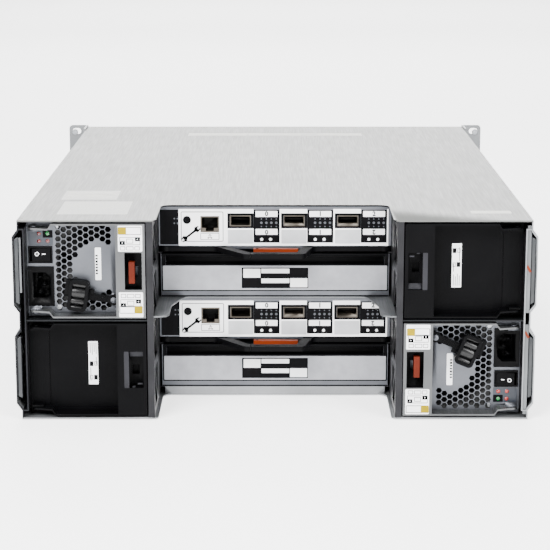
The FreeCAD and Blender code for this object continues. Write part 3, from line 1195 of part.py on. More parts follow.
upper = {"casing": pcm_casing(), "rocker": rocker(), "handle": bail_handle(),
         "latch": bail_latch(), "fan": fan_rotor()}
for piece, thing in upper.items():
    node("pcm_upper_" + piece, thing)
    node("pcm_lower_" + piece, moved("lower_" + piece, thing, **HALF_TURN))
clip = cord_clip()
node("pcm_upper_cord_clip", moved("clip_upper", clip, CLIP_X, FACE, CLIP_Z,
                                  angle="clip_angle_upper"))
node("pcm_lower_cord_clip", moved("clip_lower", clip, minus(CLIP_X), FACE,
                                  f"shelf_height - {CLIP_Z}", angle="180 + clip_angle_lower"))

filler, filler_bail = pcm_filler(), upper["handle"]
node("filler_lower_body", moved("filler_low", filler, z=minus(BAY_PITCH)))
node("filler_lower_handle", moved("filler_low_bail", filler_bail, z=minus(BAY_PITCH)))
node("filler_upper_body", moved("filler_high", filler,
                                z=f"shelf_height + {BAY_PITCH}", angle=180))
node("filler_upper_handle", moved("filler_high_bail", filler_bail,
                                  z=f"shelf_height + {BAY_PITCH}", angle=180))

module = {"canister": iom_canister(), "ports": iom_ports(), "lever_left": lever("left"),
          "lever_right": lever("right"), "trigger": trigger(), "blank": iom_filler()}
for piece, thing in module.items():
    low_copy = moved("low_" + piece, thing, z=minus(STACK_PITCH))
    if piece == "blank":
        node("io_filler_upper", thing)
        node("io_filler_lower", low_copy)
    else:
        node("iom_upper_" + piece, thing)
        node("iom_lower_" + piece, low_copy)

doc.removeObject(probe.Name)
doc.recompute()

# ---------------------------------------------------------------- checks and output

for thing in doc.Objects:
    if any(state in ("Invalid", "Error") for state in thing.State):
        raise RuntimeError(f"{thing.Name} failed: {thing.State}")
    if thing.TypeId == "PartDesign::Pocket":
        if thing.Shape.Volume > thing.BaseFeature.Shape.Volume - 0.01:
            raise RuntimeError(f"{thing.Name} cuts nothing")
if len(nodes) > 60:
    raise RuntimeError(f"{len(nodes)} sub-parts")

os.makedirs("parts", exist_ok=True)
for name, thing in nodes.items():
    shape = thing.Shape
    if shape.isNull() or not shape.isValid() or not shape.Solids:
        raise RuntimeError(f"{name} has no valid solid")
    shape.exportStep(f"parts/{name}.step")
print(len(nodes), "sub-parts written")
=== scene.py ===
"""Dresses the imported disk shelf: sheet metal, mouldings, printed films, fasteners, stage, camera."""
import json
import math

import bmesh
import bpy
from mathutils import Matrix, Vector
from mathutils.bvhtree import BVHTree

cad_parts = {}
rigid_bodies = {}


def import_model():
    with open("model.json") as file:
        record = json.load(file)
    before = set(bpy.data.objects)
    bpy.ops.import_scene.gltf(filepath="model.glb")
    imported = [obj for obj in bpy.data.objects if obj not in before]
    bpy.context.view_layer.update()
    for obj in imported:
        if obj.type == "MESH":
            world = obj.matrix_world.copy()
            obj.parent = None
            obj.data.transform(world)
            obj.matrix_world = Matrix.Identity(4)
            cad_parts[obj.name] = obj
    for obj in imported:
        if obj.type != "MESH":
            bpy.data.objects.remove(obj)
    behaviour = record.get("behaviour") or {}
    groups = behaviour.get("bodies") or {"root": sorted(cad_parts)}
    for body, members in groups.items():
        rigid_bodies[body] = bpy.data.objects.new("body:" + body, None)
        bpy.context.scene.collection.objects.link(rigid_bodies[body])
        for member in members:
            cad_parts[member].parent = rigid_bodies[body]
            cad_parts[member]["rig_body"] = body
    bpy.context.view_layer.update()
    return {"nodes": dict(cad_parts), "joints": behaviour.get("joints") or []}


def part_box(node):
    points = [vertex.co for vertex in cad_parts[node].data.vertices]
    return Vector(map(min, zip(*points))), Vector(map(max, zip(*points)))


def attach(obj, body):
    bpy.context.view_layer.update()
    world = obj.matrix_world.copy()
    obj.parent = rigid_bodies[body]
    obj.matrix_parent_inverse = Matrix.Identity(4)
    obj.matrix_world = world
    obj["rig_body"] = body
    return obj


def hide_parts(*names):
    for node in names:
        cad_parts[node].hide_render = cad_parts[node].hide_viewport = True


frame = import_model()

bl_info = {
    "name": "Disk Shelf Dressing",
    "version": (1, 0, 0),
    "blender": (4, 5, 0),
    "location": "3D View > Sidebar > Disk Shelf",
    "description": "Finishes, labels, fasteners, light and camera for a 4U disk shelf",
    "category": "Object",
}

MM = 0.001
FILM = 0.04 * MM          # thickness of a printed film
LIFT = 0.015 * MM         # air under a film, so that it never shares a plane with the sheet
RUN_UP = 0.03             # how far behind a surface a line of sight starts
FORWARD = Vector((0, 1, 0))
WHOLE = Matrix.Scale(MM, 4)   # the drawing board of the whole shelf: millimetres from its origin


# ---------------------------------------------------------------- colour and nodes

def linear(code):
    """The linear colour of an sRGB hex code, with full alpha."""
    parts = [int(code[at:at + 2], 16) / 255 for at in (1, 3, 5)]
    return [c / 12.92 if c <= 0.04045 else ((c + 0.055) / 1.055) ** 2.4 for c in parts] + [1.0]


def add(tree, kind, settings=None, inputs=None):
    """One shader node: settings are its own values, inputs are numbers, colours or sockets to link."""
    made = tree.nodes.new("ShaderNode" + kind)
    for key, setting in (settings or {}).items():
        setattr(made, key, setting)
    for key, given in (inputs or {}).items():
        if isinstance(given, bpy.types.NodeSocket):
            tree.links.new(given, made.inputs[key])
        else:
            made.inputs[key].default_value = given
    return made


def pitch(size_mm):
    """The scale of a pattern on object coordinates whose features are this many millimetres wide."""
    return 1000.0 / size_mm


def begin(name, **constants):
    """A new material with its tree, its Principled shader and its object coordinates."""
    material = bpy.data.materials.new(name)
    material.use_nodes = True
    tree = material.node_tree
    shader = tree.nodes["Principled BSDF"]
    for key, constant in constants.items():
        shader.inputs[key.replace("_", " ")].default_value = constant
    return material, tree, shader, add(tree, "TexCoord").outputs["Object"]


def blotch(tree, where, size_mm, detail=3.0, stretch=(1, 1, 1)):
    """A soft noise pattern of a real size, drawn out along the axes by stretch."""
    mapped = add(tree, "Mapping", inputs={"Vector": where, "Scale": [1 / s for s in stretch]})
    return add(tree, "TexNoise", inputs={
        "Vector": mapped.outputs["Vector"], "Scale": pitch(size_mm), "Detail": detail}).outputs["Fac"]


def between(tree, factor, low, high, spread=(0.3, 0.7)):
    """Maps a pattern to a range of numbers."""
    return add(tree, "MapRange", inputs={
        "Value": factor, "From Min": spread[0], "From Max": spread[1],
        "To Min": low, "To Max": high}).outputs["Result"]


def tints(tree, factor, stops):
    """Maps a pattern to colours: stops are (place, hex code)."""
    ramp = add(tree, "ValToRGB", inputs={"Fac": factor})
    for extra in stops[2:]:
        ramp.color_ramp.elements.new(extra[0])
    for element, (at, code) in zip(ramp.color_ramp.elements, sorted(stops)):
        element.position, element.color = at, linear(code)
    return ramp.outputs["Color"]


def dress(tree, shader, base, tones, skin, gloss, depth_mm=0.0, strength=1.0):
    """Gives a shader its colours from one pattern, and its roughness and its bump, of a real depth,
    from another. tones are as for tints, gloss is the range of the roughness."""
    tree.links.new(tints(tree, base, tones), shader.inputs["Base Color"])
    tree.links.new(between(tree, skin, *gloss), shader.inputs["Roughness"])
    if depth_mm:
        bump = add(tree, "Bump", inputs={"Height": skin, "Distance": depth_mm * MM, "Strength": strength})
        tree.links.new(bump.outputs["Normal"], shader.inputs["Normal"])


# ---------------------------------------------------------------- finishes

def zinc_sheet(name, light, dark, roughness, metallic):
    """Sheet steel under a zinc, phosphate or powder coat: satin, cloudy over a few centimetres, with
    the fine lines of the rolling mill. The lines are drawn 1.2 mm apart, coarser than real, to show."""
    material, tree, shader, where = begin(name, Metallic=metallic)
    dress(tree, shader, blotch(tree, where, 34, 4), [(0.3, dark), (0.72, light)],
          blotch(tree, where, 1.2, 2, stretch=(1, 40, 1)), (roughness - 0.06, roughness + 0.08), 0.01, 0.25)
    return material


def moulded_plastic(name, light, dark, roughness, shine, grain_mm=0.7):
    """Moulded plastic, or a powder coat, with a fine grain: soft wide highlights, slightly broken.
    The grain is drawn 0.7 mm wide or more, coarser than real, to show."""
    material, tree, shader, where = begin(name, IOR=1.53, Specular_IOR_Level=shine)
    dress(tree, shader, blotch(tree, where, 22, 4), [(0.3, dark), (0.7, light)],
          blotch(tree, where, grain_mm, 3), (roughness - 0.08, roughness + 0.1), 0.02, 0.35)
    return material


def stamped_steel(name, light, dark, roughness):
    """Plated steel of port cages and screw heads: bright, with short scratches along one way."""
    material, tree, shader, where = begin(name, Metallic=1.0)
    marks = blotch(tree, where, 1.6, 4, stretch=(6, 6, 1))
    dress(tree, shader, marks, [(0.25, dark), (0.7, light)], marks, (roughness, roughness + 0.18),
          0.01, 0.2)
    return material


def printed_film(name, light, dark, roughness=0.38, shine=0.5, coat=0.15):
    """Screen-printed polyester film: even colour under a satin skin, with a faint orange-peel."""
    material, tree, shader, where = begin(name, IOR=1.57, Coat_Weight=coat, Specular_IOR_Level=shine)
    dress(tree, shader, blotch(tree, where, 9, 3), [(0.3, dark), (0.7, light)],
          blotch(tree, where, 1.4, 2), (roughness - 0.05, roughness + 0.07), 0.005, 0.2)
    return material


def board_laminate(name):
    """Glass-fibre board under solder mask: dark green, half glossy, with the weave showing through.
    The weave is drawn about 6 mm wide, coarser than real, to show."""
    material, tree, shader, where = begin(name, IOR=1.55, Coat_Weight=0.4)
    weave = add(tree, "TexWave", {"bands_direction": "X"}, {
        "Vector": where, "Scale": pitch(18), "Distortion": 2.0}).outputs["Fac"]
    dress(tree, shader, weave, [(0.2, "#0D3A22"), (0.8, "#15502F")], weave, (0.3, 0.42, (0, 1)), 0.01, 0.3)
    return material


def cast_aluminium(name, light, dark):
    """Die-cast aluminium of a disk body: dull grey with a sandy skin. The sand is drawn 0.9 mm wide,
    coarser than real, to show."""
    material, tree, shader, where = begin(name, Metallic=1.0)
    sand = blotch(tree, where, 0.9, 4)
    dress(tree, shader, sand, [(0.3, dark), (0.7, light)], sand, (0.48, 0.62), 0.03, 0.4)
    return material


def lamp_lens(name, light, dark, glow):
    """Polycarbonate light pipe: glossy coloured plastic that lets a little light through, and glows
    where its lamp is lit."""
    material, tree, shader, where = begin(
        name, IOR=1.58, Coat_Weight=0.6, Transmission_Weight=0.15,
        Emission_Color=linear(light), Emission_Strength=glow)
    cloud = blotch(tree, where, 4.0, 1)
    dress(tree, shader, cloud, [(0.3, dark), (0.7, light)], cloud, (0.15, 0.3))
    return material


# Each row is a finish: what it is called here, what it is, its pale and dark tones, and the numbers
# that its family takes after them. What a group gives the eye stands above it.
FINISHES = (
    # Grey walls, darker shelves and cases, bright trays, dark grey partitions and drive cage; near-black
    # painted shade on the bay linings, in the tunnels of the power modules, on the left wall's rear edges
    # and on the power shelves.
    (zinc_sheet, (
        ("chassis", "Zinc-coated steel, chassis", "#8A8C8E", "#77797B", 0.44, 0.8),
        ("shelf", "Zinc-coated steel, module shelves", "#6C6E70", "#5C5E60", 0.44, 0.8),
        ("module", "Zinc-coated steel, module case", "#5F6166", "#505257", 0.42, 0.8),
        ("bail", "Zinc-coated steel, bail", "#58595A", "#4D4E4F", 0.38, 0.75),
        ("tray", "Zinc-coated steel, drive tray", "#949698", "#7C7E80", 0.45, 0.8),
        ("ear", "Powder-coated steel, rack flange", "#77797B", "#696B6D", 0.5, 0.3),
        # Dark grey of the partitions and drive cage, also laid on the chassis walls inside the bays as
        # painted shade.
        ("liner", "Phosphated steel, inner walls", "#2E2E30", "#202022", 0.42, 0.9),
        # Near-black painted shade, laid on the left wall's rear edges and on the shelves of the power bays.
        ("edge", "Phosphated steel, cut edges", "#232426", "#18191B", 0.5, 0.9),
        # Near-black painted shade for the inside of the power modules, behind the perforation.
        ("shade", "Phosphated steel, fan tunnel", "#0A0A0B", "#060607", 0.7, 0.0))),
    # Deep matt blacks, glossier where a hand goes, charcoal fronts that catch a soft light along their
    # edges, and terracotta that marks what is pulled. The latch's terracotta is darker, as painted shade,
    # and the grey lip of the filler's finger well is a painted highlight.
    (moulded_plastic, (
        ("black", "Black ABS, moulded", "#060607", "#040405", 0.45, 0.045),
        ("blank", "Black powder coat, fillers", "#060607", "#040405", 0.4, 0.035, 0.9),
        ("fan", "Black glass-filled nylon, fan", "#0B0B0D", "#060607", 0.4, 0.12),
        ("glossy", "Black nylon, cord saddle", "#09090A", "#050506", 0.32, 0.3),
        ("socket", "Black nylon, mains socket", "#060607", "#030304", 0.4, 0.05),
        ("contact", "Black LCP, contact block", "#0A0907", "#050403", 0.5, 0.1),
        ("bezel", "Charcoal ABS, drive bezel", "#151619", "#0E0F11", 0.5, 0.2),
        # Grey that stands for light on the inner wall of the black finger well: a painted highlight.
        ("lip", "Grey ABS, lip of the finger well", "#232327", "#1A1A1D", 0.45, 0.12),
        ("infill", "Grey polypropylene, bump strips", "#323436", "#222426", 0.35, 0.3, 6.0),
        # A darker copy of the terracotta for the latch, as painted shade.
        ("ember", "Terracotta ABS, bail latch", "#551703", "#461102", 0.5, 0.12))),
    # Warm dull cages in the ports, and screw heads that glint.
    (stamped_steel, (
        ("port", "Nickel-plated steel, port cages", "#5C5750", "#3C3833", 0.32),
        ("screw", "Zinc-plated steel, screws", "#B4B6BA", "#85888C", 0.28))),
    (board_laminate, (("board", "Green glass-fibre board"),)),
    (cast_aluminium, (("disk", "Die-cast aluminium, disk body", "#8C8E91", "#6C6E71"),)),
    # Clean whites and matt blacks that read as flat ink. The cover's labels are only a shade yellower
    # than its steel and are seen mostly by their edges.
    (printed_film, (
        ("white", "White ink on polyester film", "#F4F4F5", "#ECECED"),
        ("pale", "Pale grey ink on polyester film", "#B2B3B6", "#A6A7AA"),
        ("grey", "Grey ink on polyester film", "#94959A", "#87888D", 0.4, 0.3, 0.0),
        ("dots", "Mid-grey ink on polyester film", "#4C4D52", "#3E3F44", 0.5, 0.15, 0.0),
        ("outline", "Dark grey ink, thin lines", "#1C1C20", "#141418", 0.5, 0.08, 0.0),
        ("ink", "Black ink on polyester film", "#060608", "#040405", 0.5, 0.04, 0.0),
        ("yellow", "Yellow ink on polyester film", "#8E7B00", "#827000", 0.55, 0.05, 0.0),
        ("slate", "Blue-grey tinted window film", "#2F333B", "#252930", 0.35, 0.3, 0.0),
        ("cover_film", "Clear varnished film, cover labels", "#76776F", "#6E6F68", 0.34, 0.3, 0.0),
        ("cover_white", "White ink on polyester film, cover labels", "#8E8E84", "#86867C",
         0.36, 0.3, 0.0))),
    # Small clear domes; the lit ones glow weakly. The upper power module's red lamps are a darker copy that
    # barely glows, as painted shade.
    (lamp_lens, (
        ("red_lamp", "Red lamp lens", "#A81A0C", "#861206", 0.25),
        # A darker copy of the red lens for the upper module, as painted shade.
        ("dim_lamp", "Red lamp lens, unlit", "#6E1013", "#4A0A0C", 0.02),
        ("green_lamp", "Green lamp lens", "#0F7A36", "#0A5A26", 0.25),
        ("clear_lamp", "Clear lamp lens", "#D9DBDD", "#AEB0B3", 0.0))))


class Finishes:
    """The finishes of the shelf, made once. Two of them take their tones from the property group."""

    def __init__(self, colours):
        self.cover = zinc_sheet("Zinc-coated steel, top cover", colours.cover_light,
                                colours.cover_dark, 0.5, 0.4)
        self.orange = moulded_plastic("Terracotta ABS, moulded", colours.orange_light,
                                      colours.orange_dark, 0.5, 0.15)
        for family, rows in FINISHES:
            for key, *given in rows:
                setattr(self, key, family(*given))


# ---------------------------------------------------------------- building helpers

def piece(name, mesh, body, material, thickness=0.0):
    """An object at the origin from a mesh, riding on a body, with its finish. A flat mesh is given
    its thickness here."""
    mesh.materials.clear()
    mesh.materials.append(material)
    made = bpy.data.objects.new(name, mesh)
    bpy.context.scene.collection.objects.link(made)
    if thickness:
        skin = made.modifiers.new("Solidify", "SOLIDIFY")
        skin.thickness, skin.offset = thickness, 1.0
    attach(made, body)
    return made


def mesh_from(bm, name, smooth_below=None):
    """The mesh of a bmesh, smooth where its faces meet at less than the angle in degrees."""
    mesh = bpy.data.meshes.new(name)
    bm.to_mesh(mesh)
    bm.free()
    if smooth_below:
        mesh.shade_smooth()
        mesh.set_sharp_from_angle(angle=math.radians(smooth_below))
    return mesh


def body_of(node):
    """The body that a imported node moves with."""
    return frame["nodes"][node]["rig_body"]


def coat(material, *nodes):
    """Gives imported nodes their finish."""
    for node in nodes:
        for held in frame["nodes"][node].material_slots:
            held.material = material


def redress(node, place, sorter):
    """Stands pieces for a node whose solids have different finishes. sorter takes the middle of a
    face on the drawing board, in millimetres, and gives the name and finish of its piece."""
    whole = bmesh.new()
    whole.from_mesh(frame["nodes"][node].data)
    bmesh.ops.remove_doubles(whole, verts=whole.verts, dist=0.002 * MM)
    flat = place.inverted()
    groups = {}
    for face in whole.faces:
        name, material = sorter(flat @ face.calc_center_median())
        groups.setdefault(name, (material, set()))[1].add(face.index)
    for name, (material, wanted) in groups.items():
        part = whole.copy()
        part.faces.ensure_lookup_table()
        bmesh.ops.delete(part, geom=[f for f in part.faces if f.index not in wanted], context="FACES")
        made = piece(f"{node}_{name}", mesh_from(part, name, 30), body_of(node), material)
        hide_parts(node)
    whole.free()


def surface(*nodes):
    """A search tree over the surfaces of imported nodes, for laying films on them."""
    spots, faces = [], []
    for node in nodes:
        mesh = frame["nodes"][node].data
        start = len(spots)
        spots += [v.co.copy() for v in mesh.vertices]
        faces += [[start + i for i in polygon.vertices] for polygon in mesh.polygons]
    return BVHTree.FromPolygons(spots, faces)


def board(node, turned=False):
    """The drawing board of a module: millimetres from the corner of its box that is at the lower
    left as the module stands, or as it would stand if it weren't turned upside down."""
    low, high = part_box(node)
    corner = Vector((high.x, low.y, high.z) if turned else (low.x, low.y, low.z))
    return Matrix.Translation(corner) @ Matrix.Rotation(math.pi if turned else 0, 4, "Y") @ WHOLE


def soften(bm, geom, offset, kind="EDGES", segments=2):
    """Rounds edges, or the corners of a flat face, and returns what the rounding made."""
    return bmesh.ops.bevel(bm, geom=geom, offset=offset, affect=kind, segments=segments,
                           profile=0.5, material=-1)


def struck(on, spot):
    """Where a line of sight from behind the shelf, through a spot, meets a surface."""
    return on.ray_cast(Vector((spot.x, spot.y - RUN_UP, spot.z)), FORWARD)[0]


def patch(bm, x, z, width, height, corner=0.5, line=0.0, turn=0.0):
    """A flat rectangle about (x, z) with rounded corners, or only its outline where line is given."""
    place = (Matrix.Translation((x, 0, z)) @ Matrix.Rotation(math.radians(turn), 4, "Y")
             @ Matrix.Rotation(math.pi / 2, 4, "X") @ Matrix.Diagonal((width / 2, height / 2, 1, 1)))
    made = bmesh.ops.create_grid(bm, x_segments=1, y_segments=1, size=1.0, matrix=place)
    faces = made["verts"][0].link_faces[:]
    if corner:
        faces = soften(bm, made["verts"], corner, "VERTICES", 3)["verts"][0].link_faces[:]
    hollow(bm, faces, line)


def hollow(bm, faces, line):
    """Leaves only a band of this width along the rim of a flat face."""
    if line:
        bmesh.ops.inset_region(bm, faces=faces, thickness=line, use_even_offset=True,
                               use_boundary=True)
        bmesh.ops.delete(bm, geom=faces, context="FACES_ONLY")


def rects(*sizes):
    """A drawing made of rectangles, each given as patch takes it."""
    def draw(bm):
        for size in sizes:
            patch(bm, *size)
    return draw


def disc(bm, x, z, radius, line=0.0, segments=24):
    """A flat disc about (x, z), or a ring where line is given."""
    place = Matrix.Translation((x, 0, z)) @ Matrix.Rotation(math.pi / 2, 4, "X")
    made = bmesh.ops.create_circle(bm, cap_ends=True, segments=segments, radius=radius, matrix=place)
    hollow(bm, made["verts"][0].link_faces[:], line)


def figure(bm, digit, x, z, height, turn=0.0):
    """A plain digit as a flat mesh."""
    curve = bpy.data.curves.new("digit", "FONT")
    curve.body, curve.align_x, curve.align_y = digit, "CENTER", "CENTER"
    curve.size, curve.offset = height * 1.4, height * 0.06      # a digit fills 1 / 1.4 of its line
    holder = bpy.data.objects.new("digit", curve)
    mesh = bpy.data.meshes.new_from_object(holder)
    mesh.transform(Matrix.Translation((x, 0, z)) @ Matrix.Rotation(math.radians(turn), 4, "Y")
                   @ Matrix.Rotation(math.pi / 2, 4, "X"))
    bm.from_mesh(mesh)
    bpy.data.objects.remove(holder)
    bpy.data.curves.remove(curve)
    bpy.data.meshes.remove(mesh)


def film(name, body, material, draw, place, on, layer=0, curved=False):
    """A printed film: draw fills a bmesh on the board, which is then laid on a surface from behind
    the shelf, one layer over another, following the surface where it is curved."""
    bm = bmesh.new()
    draw(bm)
    bm.transform(place)
    levels = {}
    for vert in bm.verts:
        hit = struck(on, vert.co)
        if hit is not None:
            levels[vert] = hit.y
    plane = sorted(levels.values())[len(levels) // 2]
    for vert in bm.verts:
        level = levels.get(vert, plane) if curved else plane
        vert.co.y = level - LIFT - layer * (FILM + LIFT)
    bm.normal_update()
    bmesh.ops.reverse_faces(bm, faces=[face for face in bm.faces if face.normal.y > 0])
    return piece(name, mesh_from(bm, name), body, material, FILM)


def films(body, place, on, rows):
    """The films of one body: each row is a name, a finish, a drawing and a layer."""
    for name, material, draw, layer in rows:
        film(f"{body}_{name}", body, material, draw, place, on, layer)


def block(bm, place, middle, size, turn=0.0, axis="Y"):
    """A block about a middle on the board, leaning by some degrees about one of the board's axes."""
    return bmesh.ops.create_cube(bm, size=1.0, matrix=place @ Matrix.Translation(middle)
                                 @ Matrix.Rotation(math.radians(turn), 4, axis)
                                 @ Matrix.Diagonal((*size, 1)))["verts"]


def blocks(name, body, material, sizes, place=WHOLE, rim=0.3, segments=2, axis="Y"):
    """Blocks with rounded edges, as one piece. Each is its middle, its size and, where it leans, its
    turn; rim is the rounding. Lengths are millimetres on the board."""
    bm = bmesh.new()
    for x, y, z, wide, deep, tall, *turn in sizes:
        block(bm, place, (x, y, z), (wide, deep, tall), *turn, axis=axis)
    soften(bm, bm.edges[:], rim * MM, segments=segments)
    return piece(name, mesh_from(bm, name, 40), body, material)


def screw_head(bm, spot, axis, radius, height):
    """A pan head with a six-sided recess: its seat at spot, its top along axis. Millimetres."""
    turn = Vector((0, 0, 1)).rotation_difference(Vector(axis)).to_matrix().to_4x4()
    place = WHOLE @ Matrix.Translation(spot) @ turn
    made = bmesh.ops.create_cone(bm, cap_ends=True, segments=18, radius1=radius, radius2=radius * 0.8,
                                 depth=height, matrix=place @ Matrix.Translation((0, 0, height / 2)))
    out = Vector(axis)
    top = max({f for v in made["verts"] for f in v.link_faces},
              key=lambda f: f.calc_center_median().dot(out))
    bmesh.ops.inset_region(bm, faces=[top], thickness=radius * 0.38 * MM)
    dug = bmesh.ops.extrude_face_region(bm, geom=[top])
    deep = [v for v in dug["geom"] if isinstance(v, bmesh.types.BMVert)]
    bmesh.ops.delete(bm, geom=[top], context="FACES_ONLY")
    bmesh.ops.translate(bm, verts=deep, vec=out * (-0.55 * height * MM))


def screws(name, body, material, spots, axis, radius, height):
    """Screw heads as one piece, all pointing the same way."""
    bm = bmesh.new()
    for spot in spots:
        screw_head(bm, Vector(spot), axis, radius, height)
    return piece(name, mesh_from(bm, name, 30), body, material)


# ---------------------------------------------------------------- settings shown to a user

class ShelfColours(bpy.types.PropertyGroup):
    """Colours that differ from one make of shelf to another, as sRGB hex codes."""
    cover_light: bpy.props.StringProperty(
        name="Cover, light", description="Pale tone of the top cover", default="#616260")
    cover_dark: bpy.props.StringProperty(
        name="Cover, dark", description="Darker tone of the top cover", default="#595A58")
    orange_light: bpy.props.StringProperty(
        name="Touch points, light", description="Pale tone of the release levers", default="#702607")
    orange_dark: bpy.props.StringProperty(
        name="Touch points, dark", description="Darker tone of the release levers", default="#5D1E05")


class ShelfStage(bpy.types.PropertyGroup):
    """The studio round the shelf."""
    distance: bpy.props.FloatProperty(
        name="Camera distance", description="From the middle of the shelf to the camera, level",
        default=1.785, min=0.5, unit="LENGTH")
    height: bpy.props.FloatProperty(
        name="Camera height", description="Above the floor", default=0.453, min=0.05, unit="LENGTH")
    tilt: bpy.props.FloatProperty(
        name="Camera tilt", description="Below the horizon", default=math.radians(12.35),
        subtype="ANGLE", unit="ROTATION")
    lens: bpy.props.FloatProperty(
        name="Focal length", description="On a 36 mm wide sensor, in millimetres",
        default=116.8, min=10.0)


class Dressing:
    """What the operators share: the finishes, made when the first operator asks for them."""
    finishes = None

    @classmethod
    def ready(cls, context):
        if cls.finishes is None:
            cls.finishes = Finishes(context.scene.shelf_colours)
        return cls.finishes


# ---------------------------------------------------------------- sheet metal

def cover_film(name, material, middle, size, layer):
    """A blank label lying on the top cover, one layer over another."""
    bm = bmesh.new()
    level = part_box("top_cover")[1].z + layer * (FILM + LIFT) + LIFT
    place = (Matrix.Translation((middle[0] * MM, middle[1] * MM, level))
             @ Matrix.Diagonal((size[0] / 2 * MM, size[1] / 2 * MM, 1, 1)))
    made = bmesh.ops.create_grid(bm, x_segments=1, y_segments=1, size=1.0, matrix=place)
    soften(bm, made["verts"], 1.2 * MM, "VERTICES", 3)
    return piece(name, mesh_from(bm, name), "chassis", material, FILM)


def chassis_parts(spot):
    """Which finish a face of the chassis has: the left wall's rear edges and the inner faces of the walls
    in the bays, both dark as painted shade, or the sheet.
    """
    use = Dressing.finishes
    if spot.y < -299.9:
        # The left wall's rear edges are painted dark as shade; the right ones keep the sheet.
        return ("cut_edges", use.edge) if spot.x < -212 else ("sheet", use.chassis)
    # Inner faces of the side walls in the rear of the bays take the dark liner finish as painted shade.
    if 212 < abs(spot.x) < 217.9 and 1 < spot.z < 172 and spot.y < -20:
        return "bay_linings", use.liner
    return "sheet", use.chassis


def cover_parts(spot):
    """Which finish a face of the cover has: the edge over the I/O modules, painted in black ink as the
    shadow of the gap beneath it, or the sheet.
    """
    use = Dressing.finishes
    # The cover's edge faces over the I/O modules are painted black as the shadow of the gap under the
    # cover.
    over_modules = abs(spot.x) < 108 and -299 < spot.y < -150 and 173.85 < spot.z < 174.95
    return ("notch_edge", use.ink) if over_modules else ("sheet", use.cover)


def shelf_parts(spot):
    """Which finish a face of the shelves has: near-black in the power bays as painted shade, zinc under the
    I/O modules.
    """
    use = Dressing.finishes
    # The shelves of the power bays take a near-black finish as painted shade.
    return ("power_shelves", use.edge) if abs(spot.x) > 108 else ("io_shelves", use.shelf)


